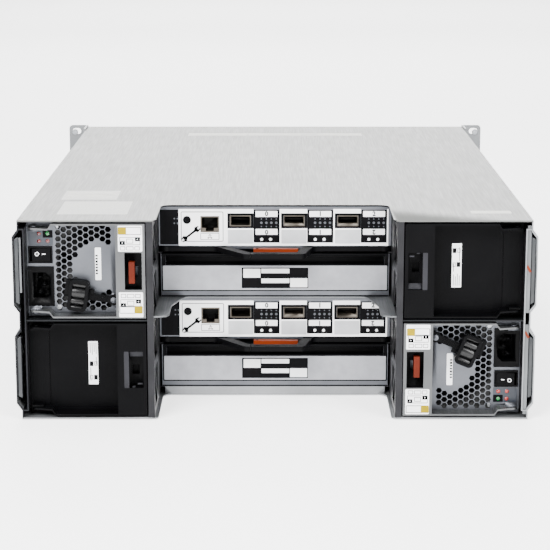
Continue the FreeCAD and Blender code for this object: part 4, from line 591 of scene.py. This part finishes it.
class SHELF_OT_sheet_metal(bpy.types.Operator):
    """Chassis, cover, partitions, shelves, flanges, drive cage, with their labels and screws"""
    bl_idname = "shelf.sheet_metal"
    bl_label = "Sheet metal"

    def execute(self, context):
        use = Dressing.ready(context)
        redress("chassis_base", WHOLE, chassis_parts)
        redress("top_cover", WHOLE, cover_parts)
        redress("module_shelves", WHOLE, shelf_parts)
        coat(use.liner, "bay_partition_left", "bay_partition_right", "drive_cage")
        coat(use.ear, "rack_ears")
        coat(use.board, "midplane_board")
        self.cover_labels(use)
        self.fasteners(use)
        self.bump_strips(use)
        self.edge_details(use)
        return {"FINISHED"}

    def bump_strips(self, use):
        """The grey strips that fill the outward pressings of the side walls at the rear."""
        for side, sign in (("left", -1), ("right", 1)):
            bm = bmesh.new()
            for low, high in ((18.4, 73.6), (101.4, 160.6)):
                middle = (sign * 220.1, -296.6, (low + high) / 2)
                made = block(bm, WHOLE, middle, (3.7, 5.6, high - low))
                outer = [v for v in made if v.co.x * sign > 0.2201]
                bmesh.ops.scale(bm, vec=(1, 1, 0.93), verts=outer,
                                space=Matrix.Translation((0, 0, -(low + high) / 2 * MM)))
            soften(bm, bm.edges[:], 1.0 * MM, segments=3)
            piece(f"bump_strips_{side}", mesh_from(bm, "strips", 50), "chassis", use.infill)

    def edge_details(self, use):
        """Gaskets between wall and lining with orange dashes; on the partitions, black patches at the
        notches as painted shade and lighter lines along the bends as painted highlights.
        """
        blocks("wall_gaskets", "chassis", use.shelf,
               ((216.2, -297.9, 132.4, 3.2, 3.0, 76.0), (216.2, -297.9, 44.2, 3.2, 3.0, 80.0),
                (-216.9, -297.9, 136.0, 1.7, 3.0, 48.0)))
        blocks("wall_dashes", "chassis", use.orange,
               ((216.2, -299.4, 133.0, 2.0, 0.5, 6.4, -28), (216.2, -299.4, 75.2, 2.0, 0.5, 6.4, -28)),
               rim=0.12)
        # The notches in the partitions are painted black as shade.
        notches = rects(*((sign * 107.0, level, 4.6, tall, 0.4) for sign in (-1, 1)
                          for level, tall in ((63.8, 13.6), (36.6, 4.2), (150.6, 13.4), (123.4, 4.2))))
        # Lighter lines along the folds of the partitions, as painted highlights.
        folds = rects(*((sign * x, z, wide, tall, 0.2) for sign in (-1, 1) for x, z, wide, tall in (
            *((106.4, level, 4.4, 0.9) for level in (6.8, 21.6, 40.0, 93.6, 108.4, 126.8)),
            (101.7, 87.0, 0.9, 168.0))))
        walls = surface("bay_partition_left", "bay_partition_right")
        film("partition_notch_shades", "chassis", use.ink, notches, WHOLE, walls)
        film("partition_fold_highlights", "chassis", use.bail, folds, WHOLE, walls)

    def cover_labels(self, use):
        """A long strip with three fields at the front, three labels at the rear."""
        for name, middle, size, finish, layer in (
                ("front_strip", (0, 231), (197, 22), use.cover_film, 0),
                ("front_field_left", (-65.5, 231), (65, 18), use.cover_white, 1),
                ("front_field_middle", (0, 231), (59, 18), use.cover_white, 1),
                ("front_field_right", (73.5, 231), (49, 18), use.cover_white, 1),
                ("rear_label_left", (-168, -174), (50, 48), use.cover_film, 0),
                ("rear_label_plate", (-158, -239), (61, 64), use.cover_film, 0),
                ("rear_label_right", (187.5, -260.5), (35, 13), use.cover_white, 0)):
            cover_film("cover_" + name, finish, middle, size, layer)
        for row, (depth, wide) in enumerate(((-160, 40), (-168, 44), (-176, 36), (-184, 42))):
            cover_film(f"cover_rear_field_{row + 1}", use.cover_white,
                       (-168 - (44 - wide) / 2, depth), (wide, 4.5), 1)

    def fasteners(self, use):
        """Two rows of screws along each side wall, two screws behind each flange."""
        cover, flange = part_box("top_cover")[1] / MM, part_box("rack_ears")[1].y / MM
        for side, sign in (("left", -1), ("right", 1)):
            rows = [(cover.x * sign, y, z) for z in (cover.z - 12, 12) for y in (-230, -120, -10, 100, 210)]
            screws(f"side_screws_{side}", "chassis", use.screw, rows, (sign, 0, 0), 3.0, 1.1)
            ear = [(sign * 234.5, flange - 2.5, z) for z in (168.8, 8.0)]
            screws(f"ear_screws_{side}", "chassis", use.screw, ear, (0, -1, 0), 3.4, 1.4)


# ---------------------------------------------------------------- power modules

def within(spot, x, z):
    """Whether a spot on the board lies in a rectangle given by its ranges."""
    return x[0] < spot.x < x[1] and z[0] < spot.z < z[1]


def case_parts(spot):
    """Which finish a face of a power module's casing has: the sheet, the mains socket, the frame of the
    switch or the space behind the perforation, painted near-black as shade."""
    use, off_face = Dressing.finishes, abs(spot.y - 8.6) > 0.05
    if off_face and spot.y < 26 and within(spot, (0.3, 22.9), (9.25, 43.9)):
        return "socket", use.socket
    if off_face and spot.y < 20 and within(spot, (1.1, 22.2), (46.5, 61.8)):
        return "switch_frame", use.socket
    # The space behind the perforation is painted near-black as shade.
    if 8.7 < spot.y < 95 and within(spot, (23.4, 102.3), (1.1, 84.0)):
        return "inside", use.shade
    return "case", use.module


def bail_parts(spot):
    """Which finish a face of a bail has: the metal bail or its moulded finger well."""
    use = Dressing.finishes
    if spot.y > -4.95 and within(spot, (83.5, 100.8), (25.1, 60.0)):
        return "well", use.black
    return "bail", use.bail


def blank_bail_parts(spot):
    """The same for a filler's bail, which is powder-coated black."""
    use = Dressing.finishes
    name = bail_parts(spot)[0]
    return name, use.black if name == "well" else use.blank


MARKS = ((83.4, 67.3), (96.2, 70.5), (83.4, 13.1), (96.2, 16.3))


def grip_strip_dots(bm):
    """The pale dots on the filled squares."""
    for x, z in MARKS:
        disc(bm, x, z, 0.42, segments=12)


# The two label areas above and below the window of the grip strip; the outlined cells of their slot
# diagrams, with no words; their filled squares; and their yellow patches, which carry no sign. Then
# the bars on the hub's label, and the places and colours of the lamps.
STRIP_WHITES = rects((89.9, 71.0, 20.6, 22.4, 0.8), (89.9, 13.4, 20.6, 21.8, 0.8))
STRIP_LINES = rects(
    (89.7, 77.7, 19.6, 6.6, 0.5, 0.5), (89.7, 9.0, 19.6, 6.6, 0.5, 0.5),
    *(((left + right) / 2, (low + high) / 2, right - left, high - low, 0.3, 0.45)
      for low, high in ((60.9, 64.3), (19.4, 22.8))
      for left, right in ((81.3, 85.7), (86.5, 92.7), (93.6, 98.0))),
    *((x, level, wide, tall, 0.3, 0.45) for level in (68.9, 14.7)
      for x, wide, tall in ((89.7, 17.6, 6.8), (89.6, 5.8, 4.0))))
STRIP_MARKS = rects(*((x, z, 4.3, 3.5, 0.3) for x, z in MARKS))
STRIP_YELLOW = rects((83.2, 77.7, 7.0, 6.4, 0.7), (96.2, 9.0, 7.0, 6.4, 0.7))
HUB_BARS = rects(*((59.7, 37.6 + at * 2.6, 2.0, 1.5 + 0.5 * (at % 3 == 1), 0.15) for at in range(7)))
LAMPS = ((18.0, 66.0, "red"), (10.6, 66.0, "red"), (10.6, 72.6, "red"), (18.0, 72.6, "green"))


class SHELF_OT_power_modules(bpy.types.Operator):
    """Casings, bails, latches, rockers, fans, cord clips, labels and lamps of the power modules"""
    bl_idname = "shelf.power_modules"
    bl_label = "Power modules"

    def execute(self, context):
        use = Dressing.ready(context)
        for which, turned in (("upper", False), ("lower", True)):
            casing, handle = f"pcm_{which}_casing", f"pcm_{which}_handle"
            place = board(casing, turned)
            redress(casing, place, case_parts)
            redress(handle, place, bail_parts)
            coat(use.black, f"pcm_{which}_rocker", f"pcm_{which}_cord_clip")
            # The latch takes the darker terracotta, as painted shade.
            coat(use.ember, f"pcm_{which}_latch")
            coat(use.fan, f"pcm_{which}_fan")
            self.strip(use, which, handle, place)
            self.column(use, which, casing, place)
            self.clip(use, which)
        return {"FINISHED"}

    def clip(self, use, which):
        """The saddle with its ribs, the thumb tab and the toothed strap of the cord clip."""
        body = f"pcm_{which}_cord_clip"
        hinge = next(j for j in frame["joints"] if j["name"] == f"hinge_{body}")
        angle, tab = (8.3, 6.5) if which == "upper" else (202.9, -7.5)
        place = (Matrix.Translation(hinge["pos_m"]) @ Matrix.Rotation(math.radians(angle), 4, "Y")
                 @ WHOLE)
        bm = bmesh.new()
        for z, tall, deep in ((9.4, 5.2, 6.8), (2.0, 9.6, 7.8), (-5.4, 6.2, 7.2), (-11.2, 5.0, 6.4)):
            made = bmesh.ops.create_cone(bm, cap_ends=True, segments=28, radius1=0.5, radius2=0.5,
                                         depth=1.0, matrix=place
                                         @ Matrix.Translation((-30.9, -1.7, z))
                                         @ Matrix.Diagonal((15.6, deep, tall, 1))
                                         @ Matrix.Rotation(math.pi / 2, 4, "Y"))
            rims = {edge for vert in made["verts"] for face in vert.link_faces if len(face.verts) > 4
                    for edge in face.edges}
            soften(bm, list(rims), 0.5 * MM)
        piece(f"{body}_saddle", mesh_from(bm, "saddle", 40), body, use.glossy)
        teeth = [(-21.6 + tooth * 1.7, -2.2, 0, 0.8, 0.8, 4.6) for tooth in range(10)]
        blocks(f"{body}_teeth", body, use.black,
               [(-40.0, -2.4, tab, 4.6, 4.4, 13.0), (-19.5, -0.9, 4.5, 4.4, 2.2, 4.2)] + teeth, place, 0.2)

    def strip(self, use, which, handle, place):
        """The printed labels on the grip strip of the bail."""
        films(f"pcm_{which}_handle", place, surface(handle), (
            ("whites", use.white, STRIP_WHITES, 0), ("lines", use.outline, STRIP_LINES, 1),
            ("marks", use.ink, STRIP_MARKS, 2), ("dots", use.white, grip_strip_dots, 3),
            ("yellow", use.yellow, STRIP_YELLOW, 2)))

    def column(self, use, which, casing, place):
        """The lamp panel, the hub's label, the marks of the switch and the screws of the face."""
        on, body = surface(casing), f"pcm_{which}"
        films(body, place, on, (
            ("lamp_panel", use.slate, rects((12.3, 69.0, 20.6, 13.4, 0.6)), 0),
            ("lamp_window", use.ink, rects((18.2, 72.2, 8.4, 6.4, 0.4)), 1),
            ("hub_label", use.white, rects((60.9, 46.0, 5.2, 28.6, 0.8)), 0),
            ("hub_bars", use.ink, HUB_BARS, 1)))
        # The upper module's red lamps take the darker copy, as painted shade.
        red = use.red_lamp if which == "lower" else use.dim_lamp
        for number, (x, z, colour) in enumerate(LAMPS):
            lens = use.green_lamp if colour == "green" else red
            self.lamp(f"{body}_lamp_{number + 1}", body, lens, place, on, x, z)
        rocker, rocker_body = surface(f"pcm_{which}_rocker"), f"pcm_{which}_rocker"

        def rocker_marks(bm):
            """The ring and the bar of the switch."""
            disc(bm, 8.9, 55.2, 1.75, 0.55)
            patch(bm, 14.6, 54.9, 3.0, 0.7, 0.2)

        film(f"{rocker_body}_marks", rocker_body, use.white, rocker_marks, place, rocker,
             curved=True)
        seats = [struck(on, place @ Vector((x, 0, z))) / MM for x, z in ((26.4, 7.9), (24.9, 78.3))]
        screws(f"{body}_face_screws", body, use.screw, seats, (0, -1, 0), 2.9, 1.0)

    def lamp(self, name, body, material, place, on, x, z):
        """A domed light pipe pressed through the lamp panel."""
        bm = bmesh.new()
        seat = (Matrix.Translation(struck(on, place @ Vector((x, 0, z))))
                @ Matrix.Rotation(math.pi / 2, 4, "X"))
        bmesh.ops.create_uvsphere(bm, u_segments=20, v_segments=10, radius=1.75 * MM,
                                  matrix=seat @ Matrix.Diagonal((1, 1, 0.5, 1)))
        return piece(name, mesh_from(bm, name, 60), body, material)


# ---------------------------------------------------------------- power fillers

# The label of a power filler: its field, its bars and outlined cells, its filled squares.
BLANK_LABEL = rects((54.8, 44.6, 8.2, 38.6, 0.3))
BLANK_LINES = rects(
    *((x, z, 0.6, tall, 0.15) for x, z, tall in (
        (52.3, 58.0, 9.0), (54.0, 57.2, 10.8), (55.7, 58.4, 8.2), (57.4, 57.6, 10.0), (52.4, 34.6, 12.0),
        (57.4, 46.5, 7.0))),
    *((x, z, 2.6, 3.8, 0.3, 0.5) for x, z in ((57.0, 44.0), (53.0, 31.6))))
BLANK_MARKS = rects((53.2, 43.8, 3.2, 4.4, 0.3), (56.8, 31.6, 3.2, 4.4, 0.3))


class SHELF_OT_power_fillers(bpy.types.Operator):
    """The black blanks that close the empty power bays, with their bails and labels"""
    bl_idname = "shelf.power_fillers"
    bl_label = "Power fillers"

    def execute(self, context):
        use = Dressing.ready(context)
        for which, turned in (("lower", False), ("upper", True)):
            body_node, handle = f"filler_{which}_body", f"filler_{which}_handle"
            coat(use.blank, body_node)
            place, on = board(body_node, turned), surface(body_node)
            redress(handle, place, blank_bail_parts)
            body = f"pcm_filler_{which}"
            shift = Matrix.Translation((1.9, 0, -3.9) if turned else (0, 0, 0))
            films(body, place @ shift, on, (
                ("label", use.white, BLANK_LABEL, 0), ("lines", use.dots, BLANK_LINES, 1),
                ("marks", use.ink, BLANK_MARKS, 2)))
            self.lip(use, handle, body + "_handle", place)
        return {"FINISHED"}

    def lip(self, use, handle, body, place):
        """The lip on the outer side of the finger well, its slanted roof and its catch, all grey as a
        painted highlight on the black well.
        """
        film(f"{body}_lip", body, use.lip,
             rects((85.0, 42.6, 4.2, 32.4, 0.6)), place, surface(handle))
        return blocks(f"{body}_catch", body, use.lip, (
            (94.0, -3.4, 56.2, 12.6, 1.2, 5.2, 24), (96.4, -4.2, 29.8, 4.2, 1.4, 1.3),
            (91.0, -4.2, 26.8, 2.6, 1.4, 1.8)), place, 0.25, axis="X")


# ---------------------------------------------------------------- I/O modules

PORTS = (72.6, 120.35, 168.1)


def per_port(*sizes):
    """Rectangles repeated at every port, with x counted from the port's middle."""
    return [(middle + x, *rest) for middle in PORTS for x, *rest in sizes]


# The black fields and the black frames of the ports, the grey fields under the ports, and the
# outlines round the service jack, the network port and the box under it.
IO_BLOCKS = rects((9.4, 22.7, 16.6, 31.4, 0.4),
                  *per_port((0, 28.4, 23.2, 13.6, 0.4, 2.1), (23.3, 23.4, 23.2, 29.6, 0.4)))
IO_GREYS = rects(*per_port((0, 14.0, 22.4, 12.4, 0.5)))
IO_LINES = rects((38.6, 23.1, 37.8, 27.2, 1.2, 0.6), (45.4, 14.2, 16.8, 6.2, 0.5, 0.5))


def area(bm, left, right, low, high):
    """A plain rectangle between four edges."""
    patch(bm, (left + right) / 2, (low + high) / 2, right - left, high - low, 0)


def io_face(bm):
    """The white field of an I/O module's face, cut out round the sockets and the black fields."""
    area(bm, 17.7, 37.0, 5.8, 39.0)
    area(bm, 37.0, 53.8, 5.8, 17.9)
    area(bm, 37.0, 53.8, 32.7, 39.0)
    area(bm, 53.8, PORTS[0] - 11.6, 5.8, 39.0)
    for middle in PORTS:
        area(bm, middle - 11.6, middle + 11.7, 5.8, 21.6)
        area(bm, middle - 11.6, middle + 11.7, 35.2, 39.0)
        area(bm, middle + 11.7, middle + 36.15, 5.8, 8.6)
        area(bm, middle + 34.9, middle + 36.15, 8.6, 39.0)


def io_whites(bm):
    """White boxes and two larger dots on the black fields."""
    for middle in PORTS:
        for level in (34.6, 18.4):
            patch(bm, middle + 23.3, level, 19.4, 5.2, 0.3)
        for x in (18.9, 26.8):
            disc(bm, middle + x, 11.6, 1.3)


def io_marks(bm):
    """The spanner, the service jack's disc and the small network sign."""
    wrench(bm, 28.4, 16.4, 13.0, 38.0)
    disc(bm, 25.1, 29.3, 3.3)
    disc(bm, 45.4, 15.6, 0.7, segments=10)
    for x in (44.0, 46.8):
        disc(bm, x, 12.9, 0.7, segments=10)
        patch(bm, (x + 45.4) / 2, 14.2, 0.35, 3.0, 0.1, 0.0, 26 if x > 45 else -26)


def io_dots(bm):
    """Four faint lamps on the left field and the dot grids on the port fields."""
    for middle in PORTS:
        for row, level in enumerate((30.0, 26.6, 23.2)):
            for column in range(4):
                disc(bm, middle + 18.7 + column * 4.4, level, 1.15 if row == 1 else 0.6, segments=12)
    for x, z in ((13.9, 30.4), (16.8, 30.4), (13.9, 26.2), (16.8, 26.2)):
        disc(bm, x, z, 0.75, segments=12)


def wrench(bm, x, z, length, slant):
    """A plain open-ended spanner about (x, z)."""
    turn = math.radians(slant)
    along = Vector((math.cos(turn), math.sin(turn)))
    patch(bm, x, z, length, 1.9, 0.3, 0.0, -slant)
    for end in (-1, 1):
        cx, cz = x + along.x * end * length / 2, z + along.y * end * length / 2
        jaw_span = 2.3
        for side in (-1, 1):
            jx = cx + along.x * end * 1.2 - along.y * side * jaw_span * 0.72
            jz = cz + along.y * end * 1.2 + along.x * side * jaw_span * 0.72
            patch(bm, jx, jz, 4.2, 1.35, 0.3, 0.0, -slant + side * end * 14)
        disc(bm, cx - along.x * end * 0.4, cz - along.y * end * 0.4, 1.9, segments=16)


def cage_parts(spot):
    """Which finish a face of the ports node has: a port cage, the network socket or the jack."""
    use = Dressing.finishes
    if spot.x < 8:
        return "jack", use.black
    if spot.x < 33:
        return ("network_inside", use.contact) if spot.y > 2.2 else ("network", use.port)
    return "cages", use.port


class SHELF_OT_io_modules(bpy.types.Operator):
    """Canisters, ports, levers, triggers and printed faces of the I/O modules"""
    bl_idname = "shelf.io_modules"
    bl_label = "I/O modules"

    def execute(self, context):
        use = Dressing.ready(context)
        for which in ("upper", "lower"):
            canister = f"iom_{which}_canister"
            coat(use.module, canister)
            redress(f"iom_{which}_ports", board(f"iom_{which}_ports"), cage_parts)
            coat(use.black, f"iom_{which}_lever_left", f"iom_{which}_lever_right")
            coat(use.orange, f"iom_{which}_trigger")
            place, on, body = board(canister), surface(canister), f"iom_{which}"
            films(body, place, on, (
                ("face", use.white, io_face, 0), ("greys", use.pale, IO_GREYS, 1),
                ("blocks", use.ink, IO_BLOCKS, 2), ("lines", use.outline, IO_LINES, 1),
                ("marks", use.ink, io_marks, 2), ("whites", use.white, io_whites, 3),
                ("lamps", use.dots, io_dots, 3)))
            self.digits(use, body, place, on)
            self.contacts(use, which, body)
        return {"FINISHED"}

    def digits(self, use, body, place, on):
        """Plain port numbers, upright above and upside down below, as the module may be turned."""
        def draw(bm):
            for number, middle in enumerate(PORTS):
                figure(bm, str(number), middle + 23.3, 34.6, 4.0)
                figure(bm, str(number), middle + 23.3, 18.4, 4.0, 180)
        film(f"{body}_digits", body, use.ink, draw, place, on, 4)

    def contacts(self, use, which, body):
        """The black contact tongue inside each port cage."""
        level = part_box(f"iom_{which}_ports")[1].z / MM - 4.8
        return blocks(f"{body}_contacts", body, use.contact,
                      [(middle, -209, level, 15.4, 13, 1.6) for middle in (-30.8, 16.95, 64.7)], rim=0.25)


# ---------------------------------------------------------------- I/O fillers

def filler_parts(spot):
    """Which finish a face of an I/O filler has: its black crown, or the sheet."""
    use = Dressing.finishes
    return ("crown", use.black) if spot.z > 37.5 else ("case", use.module)


# White boxes of the plan on the label, without words.
FILLER_BOXES = rects((81.3, 21.3, 15.2, 8.0, 0.3), (102.3, 23.4, 25.0, 4.0, 0.3),
                     (102.3, 14.4, 25.0, 4.0, 0.3), (123.3, 12.6, 15.4, 8.2, 0.3))


class SHELF_OT_io_fillers(bpy.types.Operator):
    """The blanks that close the empty I/O bays, with a black band whose finger hollow is lined black as
    painted shade, and a blank label
    """
    bl_idname = "shelf.io_fillers"
    bl_label = "I/O fillers"

    def execute(self, context):
        use = Dressing.ready(context)
        for which in ("upper", "lower"):
            node = f"io_filler_{which}"
            redress(node, board(node), filler_parts)
            place, on = board(node), surface(node)
            films(node, place, on, (
                ("border", use.ink, self.border, 0),
                ("label", use.grey, rects((102.0, 17.1, 200.4, 22.2, 0.6)), 1),
                ("fields", use.ink, rects((102.0, 17.0, 59.6, 18.8, 0.3)), 2),
                ("boxes", use.white, FILLER_BOXES, 3)))
            self.band(use, node)
        return {"FINISHED"}

    def border(self, bm):
        """The dark frame round the label, the base line and the frame of the finger hollow."""
        patch(bm, 102.0, 17.1, 202.8, 24.4, 0.8)
        area(bm, 0.2, 203.8, 0.1, 1.2)
        area(bm, 0.5, 203.5, 27.6, 28.5)
        area(bm, 0.5, 4.0, 28.5, 38.6)
        area(bm, 200.0, 203.5, 28.5, 38.6)
        area(bm, 4.0, 200.0, 37.6, 38.6)

    def band(self, use, node):
        """Black blocks lining the finger hollow, as painted shade in the hollow."""
        low, high = (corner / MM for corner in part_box(node))
        left, right, floor, roof = low.x + 4.3, high.x - 4.3, low.z + 28.8, low.z + 37.2
        deep, wall = low.y + 6.6, 0.8
        across, inside = (left + right) / 2, (low.y + deep) / 2 + 0.1
        wide, depth = right - left, deep - low.y - 0.2
        # Black blocks inside the finger hollow, as painted shade.
        return blocks(f"{node}_lining", node, use.black, (
            (across, deep - wall / 2, (floor + roof) / 2, wide, wall, roof - floor),
            (across, inside, floor + wall / 2, wide, depth, wall),
            (across, inside, roof - wall / 2, wide, depth, wall)), rim=0.2)


# ---------------------------------------------------------------- drive carriers

def carrier_parts(spot):
    """Which finish a face of a drive carrier has: the tray, the disk, the bezel or its lever."""
    use = Dressing.finishes
    if spot.y > 205.95:
        lever = spot.y > 215.01 and within(spot, (22.3, 84.1), (6.2, 17.4))
        return ("lever", use.black) if lever else ("bezel", use.bezel)
    disk = spot.y < 147.05 and within(spot, (2.3, 104.1), (0.95, 40))
    return ("disk", use.disk) if disk else ("tray", use.tray)


class SHELF_OT_drive_carriers(bpy.types.Operator):
    """Trays, disks, bezels, levers, louvres and lamps of the drive carriers"""
    bl_idname = "shelf.drive_carriers"
    bl_label = "Drive carriers"

    def execute(self, context):
        use = Dressing.ready(context)
        for node in sorted(n for n in frame["nodes"] if n.startswith("drive_carrier_")):
            place = board(node)
            redress(node, place, carrier_parts)
            body = body_of(node)
            front = 299.0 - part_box(node)[0].y / MM     # 1 mm behind the face of the bezel
            louvres = [(at, front - 1.6, 13.1, 0.9, 3.2, 16.2)
                       for at in (11.0, 13.0, 15.0, 88.6, 90.6, 92.6, 94.6, 96.6, 98.6, 100.6)]
            blocks(node + "_louvres", body, use.bezel, louvres, place, 0.15, 1)
            blocks(node + "_lamp_block", body, use.black,
                   ((6.1, front - 1.6, 13.1, 6.6, 3.2, 16.2),), place, 0.3)
            blocks(node + "_grips", body, use.bezel,
                   [(at, front + 0.55, 11.8, 0.9, 0.6, 8.6) for at in (27.0, 29.4, 31.8)], place, 0.15, 1)
            blocks(node + "_touch_point", body, use.orange,
                   ((79.0, front + 0.55, 11.8, 5.4, 0.6, 8.0),), place, 0.2)
            bm = bmesh.new()
            for level in (16.6, 10.2):
                bmesh.ops.create_cone(bm, cap_ends=True, segments=16, radius1=1.3 * MM, radius2=1.0 * MM,
                                      depth=0.8 * MM, matrix=place
                                      @ Matrix.Translation((6.1, front + 0.3, level))
                                      @ Matrix.Scale(1 / MM, 4) @ Matrix.Rotation(-math.pi / 2, 4, "X"))
            piece(node + "_lamps", mesh_from(bm, "lamps", 50), body, use.clear_lamp)
        return {"FINISHED"}


# ---------------------------------------------------------------- stage

def white_paper():
    """Matt white paper: near-white and without gloss, with a faint tooth. It glows a little, so that
    the floor stays white out to the horizon."""
    material, tree, shader, where = begin("White paper, matt", IOR=1.45, Specular_IOR_Level=0.1,
                                          Emission_Color=linear("#FFFFFF"), Emission_Strength=1.6)
    dress(tree, shader, blotch(tree, where, 180, 2), [(0.3, "#F6F6F6"), (0.7, "#FAFAFA")],
          blotch(tree, where, 3, 3), (0.85, 0.95), 0.02, 0.2)
    return material


class SHELF_OT_stage(bpy.types.Operator):
    """A white floor, soft lights and the camera"""
    bl_idname = "shelf.stage"
    bl_label = "Stage"

    def execute(self, context):
        scene, stage = context.scene, context.scene.shelf_stage
        self.floor()
        for name, place, size, power in (
                ("key", (-1.3, -2.2, 2.2), 1.6, 250), ("fill", (1.8, -2.0, 1.5), 1.4, 140),
                ("top", (0, 0.3, 2.6), 2.4, 80), ("back", (0, 2.8, 1.9), 2.4, 60),
                ("far", (0, 5.2, 3.0), 3.4, 420)):
            self.light(scene, name, Vector(place), size, power)
        world = bpy.data.worlds.new("studio")
        world.use_nodes = True
        world.node_tree.nodes["Background"].inputs["Color"].default_value = (1, 1, 1, 1)
        world.node_tree.nodes["Background"].inputs["Strength"].default_value = 0.4
        scene.world = world
        data = bpy.data.cameras.new("camera")
        data.sensor_width, data.lens = 36.0, stage.lens
        camera = bpy.data.objects.new("camera", data)
        camera.location = (0, -stage.distance, stage.height)
        camera.rotation_euler = (math.pi / 2 - stage.tilt, 0, 0)
        scene.collection.objects.link(camera)
        scene.camera = camera
        return {"FINISHED"}

    def floor(self):
        """The paper that the shelf stands on, a hair below it."""
        bm = bmesh.new()
        bmesh.ops.create_grid(bm, x_segments=8, y_segments=8, size=9.0,
                              matrix=Matrix.Translation((0, 0, -0.0008)))
        mesh = mesh_from(bm, "floor")
        mesh.materials.append(white_paper())
        floor = bpy.data.objects.new("floor", mesh)
        bpy.context.scene.collection.objects.link(floor)

    def light(self, scene, name, place, size, power):
        """A square soft light aimed at the middle of the shelf."""
        data = bpy.data.lights.new(name, "AREA")
        data.shape, data.size, data.energy = "SQUARE", size, power
        lamp = bpy.data.objects.new(name, data)
        lamp.location = place
        lamp.rotation_euler = (Vector((0, 0, 0.1)) - place).to_track_quat("-Z", "Y").to_euler()
        scene.collection.objects.link(lamp)


# ---------------------------------------------------------------- registration

OPERATORS = (SHELF_OT_sheet_metal, SHELF_OT_power_modules, SHELF_OT_power_fillers,
             SHELF_OT_io_modules, SHELF_OT_io_fillers, SHELF_OT_drive_carriers, SHELF_OT_stage)


class SHELF_PT_panel(bpy.types.Panel):
    """Lists the steps that dress the shelf"""
    bl_idname = "SHELF_PT_panel"
    bl_label = "Disk Shelf"
    bl_space_type = "VIEW_3D"
    bl_region_type = "UI"
    bl_category = "Disk Shelf"

    def draw(self, context):
        for group in (context.scene.shelf_colours, context.scene.shelf_stage):
            for key in group.__annotations__:
                self.layout.prop(group, key)
        for operator in OPERATORS:
            self.layout.operator(operator.bl_idname)


CLASSES = (ShelfColours, ShelfStage) + OPERATORS + (SHELF_PT_panel,)


def register():
    for entry in CLASSES:
        bpy.utils.register_class(entry)
    bpy.types.Scene.shelf_colours = bpy.props.PointerProperty(type=ShelfColours)
    bpy.types.Scene.shelf_stage = bpy.props.PointerProperty(type=ShelfStage)


def unregister():
    del bpy.types.Scene.shelf_stage
    del bpy.types.Scene.shelf_colours
    for entry in reversed(CLASSES):
        bpy.utils.unregister_class(entry)


def main():
    register()
    for operator in OPERATORS:
        group, name = operator.bl_idname.split(".")
        getattr(getattr(bpy.ops, group), name)()


if __name__ == "__main__":
    main()
